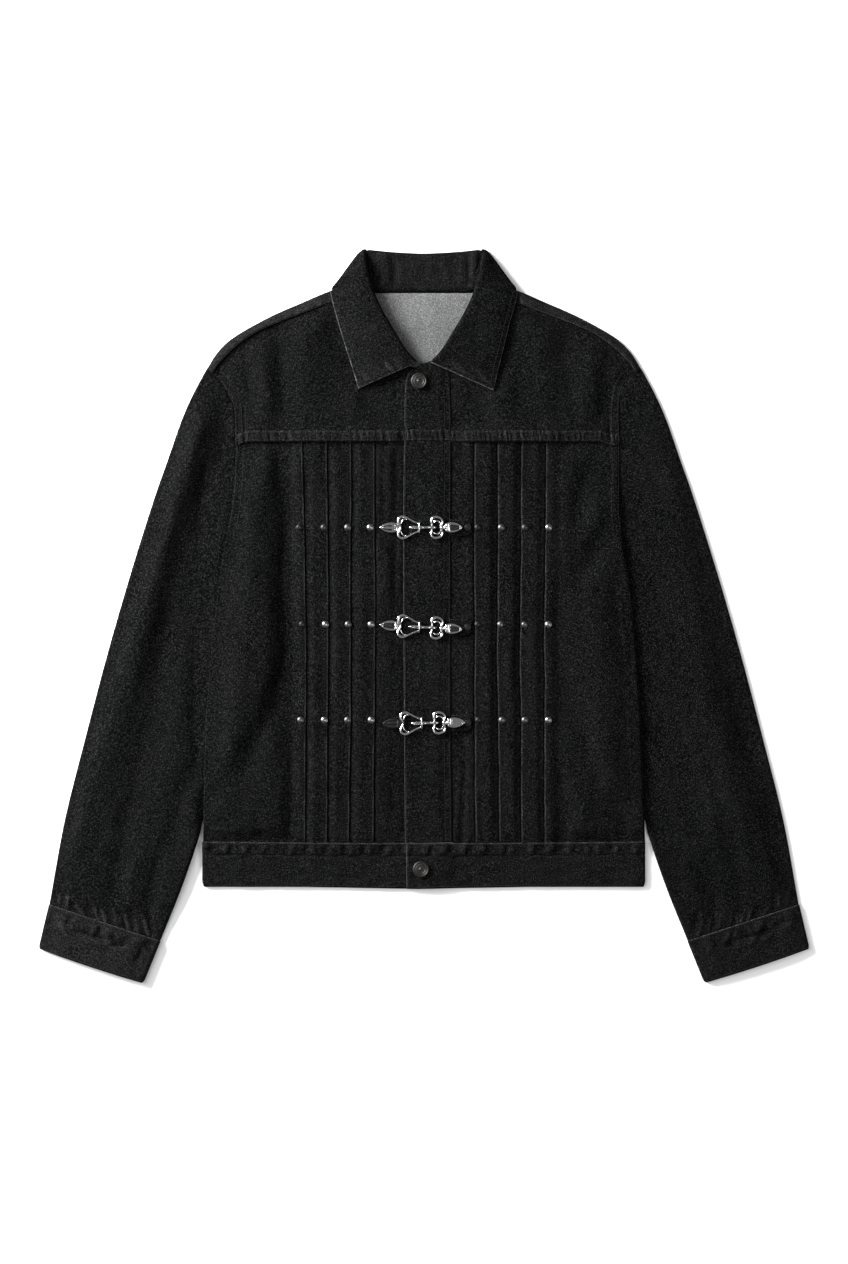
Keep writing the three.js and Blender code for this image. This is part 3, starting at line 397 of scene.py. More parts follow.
def stitches(part, line, pitch=3.3, gap=0.9, radius=0.3, sink=0.02, mat=0):
    d = pts_len(line)
    if d[-1] < pitch:
        return
    count = int(d[-1] // pitch)
    start = (d[-1] - count * pitch) / 2
    at = lambda s: np.stack([np.interp(s, d, line[:, k]) for k in range(3)], -1)
    a0 = start + np.arange(count) * pitch + gap / 2 + rng.uniform(-0.12, 0.12, count)
    a1 = a0 + pitch - gap
    A, B = at(a0), at(a1)
    ax = B - A
    ln = np.linalg.norm(ax, axis=1, keepdims=True)
    ax = ax / np.maximum(ln, 1e-6)
    sidev = np.cross(ax, np.array([0, 0, 1.0]))
    sidev /= np.maximum(np.linalg.norm(sidev, axis=1, keepdims=True), 1e-6)
    upv = np.cross(sidev, ax)
    prof = [(0.0, 0.4, -0.6), (0.2, 1.0, 0.4), (0.8, 1.0, 0.4), (1.0, 0.4, -0.6)]
    V = []
    for t, rr, h in prof:
        c = A + (B - A) * t + upv * (h * radius + sink)
        ring = c[:, None] + (sidev[:, None] * STITCH_RING[None, :, :1] + upv[:, None] * STITCH_RING[None, :, 1:]) * radius * rr
        V.append(ring)
    V = np.stack(V, 1)                               # count, rings, 4, 3
    R, S = V.shape[1], V.shape[2]
    base = (np.arange(count) * R * S)[:, None]
    f = []
    for j in range(R - 1):
        for i in range(S):
            f.append([j * S + i, (j + 1) * S + i, (j + 1) * S + (i + 1) % S, j * S + (i + 1) % S])
    f = (base[..., None] + np.array(f)[None]).reshape(-1, 4)
    part.add(V.reshape(-1, 3), f, mat)
    caps = np.concatenate([base + np.arange(S)[None], base + (R - 1) * S + np.arange(S)[None, ::-1]])
    part.f.append((caps + part.n - V.reshape(-1, 3).shape[0], np.full(len(caps), mat)))


def sweep(part, pts, rad, sides=14, closed=False, mat=0, flat=None, smooth_n=None):
    """A round bar along pts with radius rad at each point; flat scales its height."""
    p = np.asarray(pts, float)
    rad = np.asarray(rad, float) if np.ndim(rad) else np.full(len(p), float(rad))
    if smooth_n:
        q = np.c_[p, rad]
        if closed:
            q = np.vstack([q[-2:], q, q[:3]])
            t = np.linspace(2, 2 + len(p), smooth_n, endpoint=False)
        else:
            t = np.linspace(0, len(p) - 1, smooth_n)
        q = catmull(q, t)
        p, rad = q[:, :3], np.maximum(q[:, 3], 0.05)
    n = len(p)
    if closed:
        tan = np.roll(p, -1, 0) - np.roll(p, 1, 0)
    else:
        tan = np.gradient(p, axis=0)
    tan /= np.linalg.norm(tan, axis=1, keepdims=True)
    upv = np.tile([0, 0, 1.0], (n, 1))
    sv = np.cross(upv, tan)
    bad = np.linalg.norm(sv, axis=1) < 0.2
    sv[bad] = [0, 1, 0]
    sv /= np.linalg.norm(sv, axis=1, keepdims=True)
    uv = np.cross(tan, sv)
    a = np.linspace(0, 2 * math.pi, sides, endpoint=False)
    fl = 1.0 if flat is None else flat
    v = p[:, None] + rad[:, None, None] * (sv[:, None] * np.cos(a)[None, :, None] + uv[:, None] * np.sin(a)[None, :, None] * fl)
    f = []
    for j in range(n if closed else n - 1):
        for i in range(sides):
            f.append([j * sides + i, ((j + 1) % n) * sides + i, ((j + 1) % n) * sides + (i + 1) % sides, j * sides + (i + 1) % sides])
    f = np.array(f)[:, ::-1]
    part.add(v.reshape(-1, 3), f, mat)
    if not closed:
        off = part.n - n * sides
        part.f.append((np.array([[off + i for i in range(sides)]]), np.array([mat])))
        part.f.append((np.array([[off + (n - 1) * sides + i for i in range(sides)][::-1]]), np.array([mat])))


def lathe(part, profile, x, y, z, segs=48, mat=0):   # profile [radius, height] from the axis out and back
    pr = np.asarray(profile, float)
    a = np.linspace(0, 2 * math.pi, segs, endpoint=False)
    v = np.stack([x + pr[:, None, 0] * np.cos(a), y + pr[:, None, 0] * np.sin(a), z + np.repeat(pr[:, 1:2], segs, 1)], -1)
    r = len(pr)
    f = grid_faces(r, segs, True)
    part.add(v.reshape(-1, 3), f, mat)


# ------------------------------------------------------------------ materials
def new_mat(name):
    m = bpy.data.materials.new(name)
    m.use_nodes = True
    nt = m.node_tree
    for n in list(nt.nodes):
        nt.nodes.remove(n)
    out = nt.nodes.new("ShaderNodeOutputMaterial")
    bs = nt.nodes.new("ShaderNodeBsdfPrincipled")
    nt.links.new(bs.outputs[0], out.inputs[0])
    return m, nt, bs


def node(nt, kind, **props):
    n = nt.nodes.new(kind)
    for k, v in props.items():
        if k.startswith("i_"):
            n.inputs[int(k[2:]) if k[2:].isdigit() else k[2:].replace("_", " ")].default_value = v
        else:
            setattr(n, k, v)
    return n


def math_node(nt, op, a, b=None, clamp=False):
    n = nt.nodes.new("ShaderNodeMath")
    n.operation, n.use_clamp = op, clamp
    for k, s in enumerate((a, b)):
        if s is None:
            continue
        if hasattr(s, "is_linked") or hasattr(s, "links"):
            nt.links.new(s, n.inputs[k])
        else:
            n.inputs[k].default_value = s
    return n.outputs[0]


def denim(name, angle=0.0, dark=(0.0007, 0.0007, 0.00072), light=(0.0060, 0.0060, 0.0061), worn_and_lit=(0.062, 0.062, 0.0625),
          fleck=(0.022, 0.022, 0.0223), sheen=0.0, spec=0.01):
    m, nt, bs = new_mat(name)
    L = nt.links.new
    tc = node(nt, "ShaderNodeTexCoord")
    mp = node(nt, "ShaderNodeMapping")
    mp.inputs["Rotation"].default_value = (0, 0, math.radians(angle))
    L(tc.outputs["Object"], mp.inputs[0])

    def noise(scale, squash=(1, 1, 1), detail=2.0, rough=0.6):
        s = node(nt, "ShaderNodeMapping")
        s.inputs["Scale"].default_value = squash
        L(mp.outputs[0], s.inputs[0])
        n = node(nt, "ShaderNodeTexNoise")
        n.inputs["Scale"].default_value = scale
        n.inputs["Detail"].default_value = detail
        n.inputs["Roughness"].default_value = rough
        L(s.outputs[0], n.inputs["Vector"])
        return n.outputs["Fac"]
    # salt-and-pepper yarns at about 1 mm, drawn out along the warp, and broader streaks
    yarn = noise(840.0, (1.0, 0.8, 1.0), 1.0, 0.6)
    fine = noise(1500.0, (1.0, 1.0, 1.0), 1.0, 0.5)
    streak = noise(110.0, (1.0, 0.16, 1.0), 3.0, 0.6)
    blotch = noise(24.0, (1.0, 0.6, 1.0), 2.0, 0.5)
    mixv = math_node(nt, "ADD", math_node(nt, "MULTIPLY", yarn, 0.55), math_node(nt, "MULTIPLY", fine, 0.45))
    ramp = node(nt, "ShaderNodeMapRange", clamp=True)
    ramp.inputs["From Min"].default_value, ramp.inputs["From Max"].default_value = 0.44, 0.585
    L(mixv, ramp.inputs["Value"])
    tone = math_node(nt, "ADD", ramp.outputs[0], math_node(nt, "MULTIPLY", math_node(nt, "SUBTRACT", streak, 0.5), 0.8))
    tone = math_node(nt, "ADD", tone, math_node(nt, "MULTIPLY", math_node(nt, "SUBTRACT", blotch, 0.5), 0.45), True)
    c1 = node(nt, "ShaderNodeMix", data_type="RGBA")
    c1.inputs["A"].default_value, c1.inputs["B"].default_value = (*dark, 1), (*light, 1)
    L(tone, c1.inputs["Factor"])
    fl = node(nt, "ShaderNodeMapRange", clamp=True)
    fl.inputs["From Min"].default_value, fl.inputs["From Max"].default_value = 0.555, 0.67
    L(mixv, fl.inputs["Value"])
    c2 = node(nt, "ShaderNodeMix", data_type="RGBA")
    L(fl.outputs[0], c2.inputs["Factor"])
    L(c1.outputs["Result"], c2.inputs["A"])
    c2.inputs["B"].default_value = (*fleck, 1)
    # the vertex attribute read here pales the cloth towards the pale colour: rubbed edges and ridges, and painted light
    # on the lit left collar leaf, cuffs and sleeve gathers
    at = node(nt, "ShaderNodeAttribute", attribute_name="wear")
    wn = node(nt, "ShaderNodeMapRange", clamp=True)
    wn.inputs["From Min"].default_value, wn.inputs["From Max"].default_value = 0.42, 0.57
    wn.inputs["To Min"].default_value = 0.22
    L(mixv, wn.inputs["Value"])
    wf = math_node(nt, "MULTIPLY", at.outputs["Fac"], wn.outputs[0], True)
    c3 = node(nt, "ShaderNodeMix", data_type="RGBA")
    L(wf, c3.inputs["Factor"])
    L(c2.outputs["Result"], c3.inputs["A"])
    c3.inputs["B"].default_value = (*worn_and_lit, 1)
    L(c3.outputs["Result"], bs.inputs["Base Color"])
    # twill rib and yarn relief
    sep = node(nt, "ShaderNodeSeparateXYZ")
    L(mp.outputs[0], sep.inputs[0])
    diag = math_node(nt, "ADD", math_node(nt, "MULTIPLY", sep.outputs[0], 2 * math.pi / 0.00105),
                     math_node(nt, "MULTIPLY", sep.outputs[1], 2 * math.pi / 0.0017))
    rib = math_node(nt, "SINE", diag)
    h = math_node(nt, "ADD", math_node(nt, "MULTIPLY", rib, 0.18), math_node(nt, "MULTIPLY", mixv, 1.6))
    bp = node(nt, "ShaderNodeBump")
    bp.inputs["Strength"].default_value = 0.75
    bp.inputs["Distance"].default_value = 0.00035
    L(h, bp.inputs["Height"])
    L(bp.outputs[0], bs.inputs["Normal"])
    rr = node(nt, "ShaderNodeMapRange")
    rr.inputs["To Min"].default_value, rr.inputs["To Max"].default_value = 0.97, 0.82
    L(tone, rr.inputs["Value"])
    L(rr.outputs[0], bs.inputs["Roughness"])
    bs.inputs["Specular IOR Level"].default_value = spec
    bs.inputs["Sheen Weight"].default_value = sheen
    bs.inputs["Sheen Roughness"].default_value = 0.6
    bs.inputs["Sheen Tint"].default_value = (0.5, 0.5, 0.53, 1)
    return m


def metal(name, color, rough, scratch=0.06, bump=0.0, scale=600.0):
    m, nt, bs = new_mat(name)
    tc = node(nt, "ShaderNodeTexCoord")
    n = node(nt, "ShaderNodeTexNoise")
    n.inputs["Scale"].default_value = scale
    n.inputs["Detail"].default_value = 4.0
    nt.links.new(tc.outputs["Object"], n.inputs["Vector"])
    mr = node(nt, "ShaderNodeMapRange")
    mr.inputs["To Min"].default_value, mr.inputs["To Max"].default_value = max(0.02, rough - scratch), rough + scratch
    nt.links.new(n.outputs["Fac"], mr.inputs["Value"])
    nt.links.new(mr.outputs[0], bs.inputs["Roughness"])
    mc = node(nt, "ShaderNodeMix", data_type="RGBA")
    mc.inputs["A"].default_value = (*[c * 0.72 for c in color], 1)
    mc.inputs["B"].default_value = (*color, 1)
    nt.links.new(n.outputs["Fac"], mc.inputs["Factor"])
    nt.links.new(mc.outputs["Result"], bs.inputs["Base Color"])
    bs.inputs["Metallic"].default_value = 1.0
    if bump:
        bp = node(nt, "ShaderNodeBump")
        bp.inputs["Strength"].default_value = bump
        bp.inputs["Distance"].default_value = 0.0002
        nt.links.new(n.outputs["Fac"], bp.inputs["Height"])
        nt.links.new(bp.outputs[0], bs.inputs["Normal"])
    return m


M_DENIM = denim("denim_black")
M_SLEEVE_L = denim("denim_black_sleeve_left", 19)
M_SLEEVE_R = denim("denim_black_sleeve_right", -19)
M_COLLAR = denim("denim_black_cross", 62, worn_and_lit=(0.10, 0.10, 0.101))
M_BACK = denim("denim_reverse", 0, dark=(0.064, 0.0645, 0.0645), light=(0.128, 0.1295, 0.1292), worn_and_lit=(0.2, 0.2, 0.2),
               fleck=(0.165, 0.167, 0.167), sheen=0.0, spec=0.05)
M_THREAD = new_mat("thread_black")
_m, _nt, _bs = M_THREAD
_tc = node(_nt, "ShaderNodeTexCoord")
_n = node(_nt, "ShaderNodeTexNoise")
_n.inputs["Scale"].default_value = 1500.0
_nt.links.new(_tc.outputs["Object"], _n.inputs["Vector"])
_mx = node(_nt, "ShaderNodeMix", data_type="RGBA")
_mx.inputs["A"].default_value, _mx.inputs["B"].default_value = (0.003, 0.003, 0.003, 1), (0.016, 0.016, 0.0162, 1)
_nt.links.new(_n.outputs["Fac"], _mx.inputs["Factor"])
_nt.links.new(_mx.outputs["Result"], _bs.inputs["Base Color"])
_bs.inputs["Roughness"].default_value = 0.62
_bs.inputs["Specular IOR Level"].default_value = 0.15
M_THREAD = _m
M_CHROME = metal("polished_chrome", (0.70, 0.70, 0.70), 0.16, 0.07, 0.9, 460.0)
M_GUN = metal("gunmetal", (0.038, 0.037, 0.036), 0.48, 0.12, 1.0, 620.0)
# darker chrome for the clasp leaves' recesses and stripes: painted shade and painted reflection
M_CHROME_PAINTED_SHADE = metal("chrome_painted_shade", (0.10, 0.10, 0.102), 0.25, 0.08)
# the rivets' nickel in four lit and shaded copies, darkest to lit: painted shade and highlight; the darkest also serves
# the snap and a clasp leaf
M_DARK_METAL_AND_SHADE = metal("dark_metal_and_painted_shade", (0.022, 0.022, 0.023), 0.50, 0.1, 0.2, 900.0)
M_NICKEL_SHADE = metal("nickel_painted_shade", (0.042, 0.042, 0.042), 0.46, 0.1, 0.2, 900.0)
M_NICKEL_HALF_SHADE = metal("nickel_painted_half_shade", (0.095, 0.095, 0.095), 0.42, 0.1, 0.2, 900.0)
M_NICKEL_LIT = metal("worn_nickel_lit_copy", (0.22, 0.22, 0.222), 0.32, 0.1, 0.2, 900.0)

# ------------------------------------------------------------------ camera, lights, floor
PX = 1.05
scene = bpy.context.scene
cam_data = bpy.data.cameras.new("camera")
cam = bpy.data.objects.new("camera", cam_data)
scene.collection.objects.link(cam)
CAM_D = 4.2
cam_data.type = "PERSP"
cam_data.sensor_fit = "VERTICAL"
cam_data.sensor_height = 24.0
cam_data.lens = 24.0 * CAM_D / (1264 * PX * 0.001)
cam_data.clip_end = 50
cam.location = (SHIFT_X * 0.001, ((616.5 - 632) * PX + SHIFT_Y) * 0.001, CAM_D + 0.005)
cam.rotation_euler = (0, 0, 0)
scene.camera = cam
scene.view_settings.view_transform = "Standard"


def area(name, loc, target, size, power, sy=None):
    d = bpy.data.lights.new(name, "AREA")
    d.shape = "RECTANGLE"
    d.size, d.size_y, d.energy = size, sy or size, power
    o = bpy.data.objects.new(name, d)
    scene.collection.objects.link(o)
    o.location = loc
    v = np.array(target, float) - np.array(loc, float)
    from mathutils import Vector
    o.rotation_euler = Vector(v).to_track_quat("-Z", "Y").to_euler()
    return o


area("key", (-2.15, 1.15, 1.05), (0, 0, 0), 1.05, 350.0)
area("fill_left", (-1.9, 0.3, 2.7), (0, 0, 0), 1.6, 42.0)
area("fill_right", (2.0, -0.7, 2.7), (0, 0, 0), 1.6, 40.0)
world = bpy.data.worlds.new("world")
scene.world = world
world.use_nodes = True
bg = world.node_tree.nodes["Background"]
bg.inputs[0].default_value = (1.0, 1.0, 1.0, 1)
bg.inputs[1].default_value = 0.22

fl = Part()
fl.add([[-3500, -3500, -0.25], [3500, -3500, -0.25], [3500, 3500, -0.25], [-3500, 3500, -0.25]], np.array([[0, 1, 2, 3]]))
fm, fnt, fbs = new_mat("floor_white")
fn = node(fnt, "ShaderNodeTexNoise")
fn.inputs["Scale"].default_value = 3.0
fx = node(fnt, "ShaderNodeMix", data_type="RGBA")
fx.inputs["A"].default_value, fx.inputs["B"].default_value = (0.93, 0.93, 0.93, 1), (0.95, 0.95, 0.95, 1)
fnt.links.new(fn.outputs["Fac"], fx.inputs["Factor"])
fnt.links.new(fx.outputs["Result"], fbs.inputs["Base Color"])
fbs.inputs["Roughness"].default_value = 0.85
fbs.inputs["Specular IOR Level"].default_value = 0.1
me = bpy.data.meshes.new("floor")
me.from_pydata([tuple(c * 0.001 for c in p) for p in fl.v[0]], [], [(0, 1, 2, 3)])
me.materials.append(fm)
floor = bpy.data.objects.new("floor", me)
scene.collection.objects.link(floor)

THREADS = {}


def thread(key):
    return THREADS.setdefault(key, Part())


def cloth(name, part, mats, nodes):
    o = build(name, part, mats)
    if nodes:
        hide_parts(*nodes)
    return o


# ------------------------------------------------------------------ back
def body_lift(x, y):
    return 1.75 * creases(BODY_CREASES, x, y)


def back_rise(x, y):
    side = smooth((np.abs(x) - 140) / 20) * smooth((222 - np.abs(x)) / 10) * smooth((165 - y) / 30) * smooth((y + 225) / 20)
    return 0.16 * (1 + waves(x, y, 60, 91)) + side * (0.5 * (1 + waves(x, y, 48, 92, squash=0.5)) + 0.55 * np.clip(creases(BODY_CREASES, x, y), 0, 2))


p = Part()
ys = np.r_[BACK_YOKE_SEAM - 0.15, np.linspace(165, -228, 90), BAND_TOP + 0.3]
U = dense(70, 1, 1, 430)
L, R = by_y(BODY_EDGE, 1, ys), by_y(BODY_EDGE, 2, ys)
X = L[:, None] * (1 - U) + R[:, None] * U
Y = np.repeat(ys[:, None], len(U), 1)
g = np.stack([X, Y, ground(X, Y) + back_rise(X, Y) + CLOTH / 2], -1)
shell(p, g, CLOTH, mats=(1, 0), edge=(0, 0, 0.6, 0.6))
cloth("back_panel_cloth", p, [M_DENIM, M_BACK], ["back_panel"])

p = Part()
y0 = BACK_YOKE_SEAM + 0.15
edgeL = [[by_y(BODY_EDGE, 1, y), y] for y in (y0, 184.4, 220, 241, 252.5)]
edgeR = [[by_y(BODY_EDGE, 2, y), y] for y in (y0, 184.4, 220, 241, 252.5)]
top = [[-h, y] for h, y in SHOULDER[::-1]] + [[-52, 339.6], [52, 339.6]] + [[h, y] for h, y in SHOULDER]
U, V = dense(110, 1, 1, 420), dense(46, 1, 1, 140)
g2 = patch(poly([edgeL[0], edgeR[0]]), poly(top), poly(edgeL + [top[0]]), poly(edgeR + [top[-1]]), U, V)
x, y = g2[..., 0], g2[..., 1]
inside = smooth((y - 250) / 30)
z = ground(x, y) + CLOTH / 2
# soft rolls of the inside back between the collar's leaves
z = z + 0.55 * inside * (np.exp(-((x + 16 + (y - 300) * 0.25) / 9) ** 2) * -1.0 + np.exp(-((x - 12 + (y - 300) * 0.2) / 11) ** 2) * 0.9) * smooth((72 - np.abs(x)) / 20) * smooth((338 - y) / 10)
off = -0.829 * (x + 22.2) - 0.559 * (y - 337.6)
z = z + 1.2 * inside * smooth(-off / 40) * smooth((62 - np.abs(x)) / 12) * smooth((340 - y) / 5)
z = np.maximum(z, CLOTH / 2)
g = np.dstack([g2, z])
shell(p, g, CLOTH, mats=(1, 0), edge=(0.5, 0.5, 0.5, 0.5))
for s in (-1, 1):
    sh = curve([[s * h, y] for h, y in SHOULDER])
    se = curve([[s * h, y] for h, y in STRIP_SEAM])
    t = np.linspace(0.03, 1.0, 110)
    S, E = sh(t), se(t)
    d = np.linalg.norm(E - S, axis=1)
    u = (E - S) / d[:, None]
    gz = ground(S[:, 0], S[:, 1])
    mid = FRONT_LIFT + CLOTH / 2 + neck_room(S[:, 0], S[:, 1]) + 0.5
    a = np.linspace(-math.pi / 2, math.pi / 2, 9)
    r = (mid - 0.7) / 2
    NECK_FREE = smooth((S[:, 0] * s - 96) / 24)
    cols = []
    for q in np.linspace(0, 1, 4)[:-1]:
        cols.append(((1 - q) * np.minimum(8, 0.7 * d) + q * 1.9, np.full_like(d, 0.72)))
    for ang in a:
        cols.append((1.6 - 1.45 * math.cos(ang) + 0 * d, 0.72 + r + r * math.sin(ang)))
    for q in (0.12, 0.25, 0.4, 0.55, 0.7, 0.82, 0.9, 0.96, 1.0):
        dip = -0.35 * smooth((q - 0.8) / 0.2)
        cols.append((1.6 + q * (d - 1.75), mid + dip + (0.25 * math.sin(q * math.pi) + 2.0 * math.sin(q * math.pi / 2) * smooth((1 - q) / 0.1 + 0.5)) * NECK_FREE))
    A = np.stack([c[0] for c in cols], 1)
    Z = np.stack([c[1] for c in cols], 1)
    pk = ripple(pts_len(S), 9, 31 + s)[:, None]
    Z = Z + 0.22 * pk * smooth((A - 3) / 6)
    g = np.dstack([S[:, None, 0] + u[:, None, 0] * A, S[:, None, 1] + u[:, None, 1] * A, Z + gz[:, None]])
    w = 0.35 * np.clip(1 - np.abs(A - 0.3) / 0.9, 0, 1) + 0.22 * np.clip(pk, 0, 1) * smooth((A - 4) / 4) + 0.10
    w[:, :5] = 0
    n = normals(g)
    sg = 1.0 if np.mean(n[:, -3:, 2]) > 0 else -1.0
    hi = shell(p, g, CLOTH - 0.1, wear=w, mats=(0, 1), sign=sg, edge=(0, 0, 0, 0.7))
    stitches(thread("yoke"), along_edge(hi, "col1", 1.6, 0.0, 1.0))
    stitches(thread("yoke"), along_edge(hi, "col1", 8.2, 0.05, 0.9))
cloth("back_yoke_cloth", p, [M_DENIM, M_BACK], ["back_yoke"])

# ------------------------------------------------------------------ front yokes
BAND_H = 11.5                                          # the felled seam's height


def pleat_zone(ax):                                    # 1 where the pleats pass under the seam
    return smooth((ax - 38) / 8) * (1 - smooth((ax - 132) / 14))


for side, s in (("left", -1), ("right", 1)):
    p = Part()
    col = 1 if s < 0 else 2
    yb = YOKE_SEAM - 0.9
    inner = 14.0 if s < 0 else float(by_y(PLACKET, 2, 200)) + 0.35
    neck = [[s * (r[0][0] + 1.3), r[0][1] - 1.6] for r in COLLAR[:6]][::-1]
    start = [s * 66.0, 336.7]
    last = [[13.8, 240], [13.5, 261.4]] if s < 0 else [[float(by_y(PLACKET, 2, 251)) + 0.4, 251], [float(by_y(PLACKET, 2, 262)) + 0.7, 269.5]]
    front = (neck[1:6] if s < 0 else neck[1:5])[::-1]
    edge = [[float(by_y(BODY_EDGE, col, y)), y] for y in (yb, 200, 220, 241, 252.5)]
    seam = curve([[s * h, y - 0.15] for h, y in STRIP_SEAM])
    seam_pts = seam(np.linspace(1, 0.0, 24)).tolist()
    seam_pts[-1] = start
    U, V = dense(200, 1, 1, 190), dense(44, 1, 1, 120)
    # the seam band needs finer rows
    V = np.unique(np.round(np.r_[V, np.linspace(0, 0.13, 26)], 6))
    dipped = [[e, yb - 4.6 * math.exp(-((abs(e) - 199) / 9) ** 2)] for e in np.linspace(edge[0][0], inner, 60)]
    edge[0] = dipped[0]
    g2 = patch(poly(dipped), poly(seam_pts), curve(edge + [seam_pts[0]]), poly([[inner, dipped[-1][1]]] + last + front + [start]), U, V)
    x, y = g2[..., 0], g2[..., 1]
    h = y - (yb - 4.6 * np.exp(-((np.abs(x) - 199) / 9) ** 2))     # height above the lower edge
    zone = pleat_zone(np.abs(x))
    if s < 0:
        zone = np.maximum(zone, smooth((-x - 24) / 7) * (x > -46))
    zc = ground(x, y) + FRONT_LIFT + neck_room(x, y) + CLOTH / 2
    zc = zc + (1.5 + 3.0 * zone) * (1 - smooth((h - 1.0) / 20.0))
    dtop = np.linalg.norm(g2 - g2[-1:], axis=2)
    leaf_x = np.interp(y, [222, 239, 283, 345], [34, 69, 81, 98])
    zc = zc + 2.4 * smooth((np.abs(x - by_y(BODY_EDGE, col, y)) - 2) / 22) * smooth((dtop - 2) / 20) * smooth((np.abs(x) - leaf_x - 3) / 20)
    zc = zc + 1.8 * creases(YOKE_CREASES, x, y) * smooth((h - 4) / 26) * smooth((330 - y) / 30) + 0.35 * waves(x, y, 46, 5 + s) * smooth(h / 20)
    # band: slightly proud, with fine upright puckers between its two rows of stitches
    inb = smooth((h - 0.4) / 1.6) * (1 - smooth((h - BAND_H + 1.0) / 2.4))
    pk = ripple(x + 0.2 * h, 4.6, 11 + s) + 0.55 * ripple(x - 0.2 * h, 2.8, 17 + s)
    pk2 = ripple(x * 1.0 + 0.12 * h, 11, 23 + s)
    zc = zc + 0.38 * inb + 0.5 * inb * pk + 0.42 * pk2 * np.exp(-np.abs(h - BAND_H) / 8) * (1 - inb)
    zc = zc - 0.45 * np.exp(-((h - BAND_H - 0.4) / 0.9) ** 2) - 0.2 * np.exp(-((h - 1.9) / 0.7) ** 2)
    # armhole seam allowance under the cloth and its outer row
    da = np.abs(x - by_y(BODY_EDGE, col, y))
    al = smooth((250 - y) / 30)
    zc = zc + 0.7 * (1 - smooth((da - 8.5) / 2.0)) * al - 0.7 * np.exp(-((da - 9.8) / 1.3) ** 2) * al
    zc = zc + 0.22 * ripple(y, 8, 41 + s) * np.exp(-((da - 5) / 5) ** 2)
    w = 0.16 * np.clip(pk - 0.1, 0, 1.3) * inb * (0.7 + 0.5 * ripple(x, 60, 3 + s)) + 0.015 * inb
    w = np.clip(w, 0, 1) + (0.11 * np.exp(-((h - 2.1) / 0.5) ** 2) + 0.16 * np.exp(-((h - BAND_H + 0.8) / 0.5) ** 2)) * (0.6 + 0.4 * ripple(x, 22, 33 + s) + 0.5 * pk)
    w = w + 0.16 * np.clip(1 - np.abs(h - 0.35) / 0.5, 0, 1) * (0.5 + 0.5 * ripple(x, 4, 29))
    w = w + 0.22 * np.clip(1 - da / 1.0, 0, 1) * al * (0.6 + 0.4 * ripple(y, 4, 28))
    zc = np.maximum(zc, ground(x, y) + CLOTH + 0.12 + CLOTH / 2)
    g = np.dstack([g2, zc])
    hi = shell(p, g, CLOTH, wear=np.clip(w, 0, 1), mats=(0, 1), edge=(0.9, 0.4, 0.4, 0.4))
    c = cloth(f"front_yoke_{side}_cloth", p, [M_DENIM, M_BACK], [f"front_yoke_{side}"])
    stitches(thread("yoke"), along_edge(hi, "row0", 1.9, 0.01, 0.99), 3.0)
    stitches(thread("yoke"), along_edge(hi, "row0", BAND_H - 1.0, 0.01, 0.99), 3.0)
    stitches(thread("yoke"), along_edge(hi, "col0", 1.5, 0.08, 0.97))
    stitches(thread("yoke"), along_edge(hi, "col0", 8.6, 0.08, 0.93))

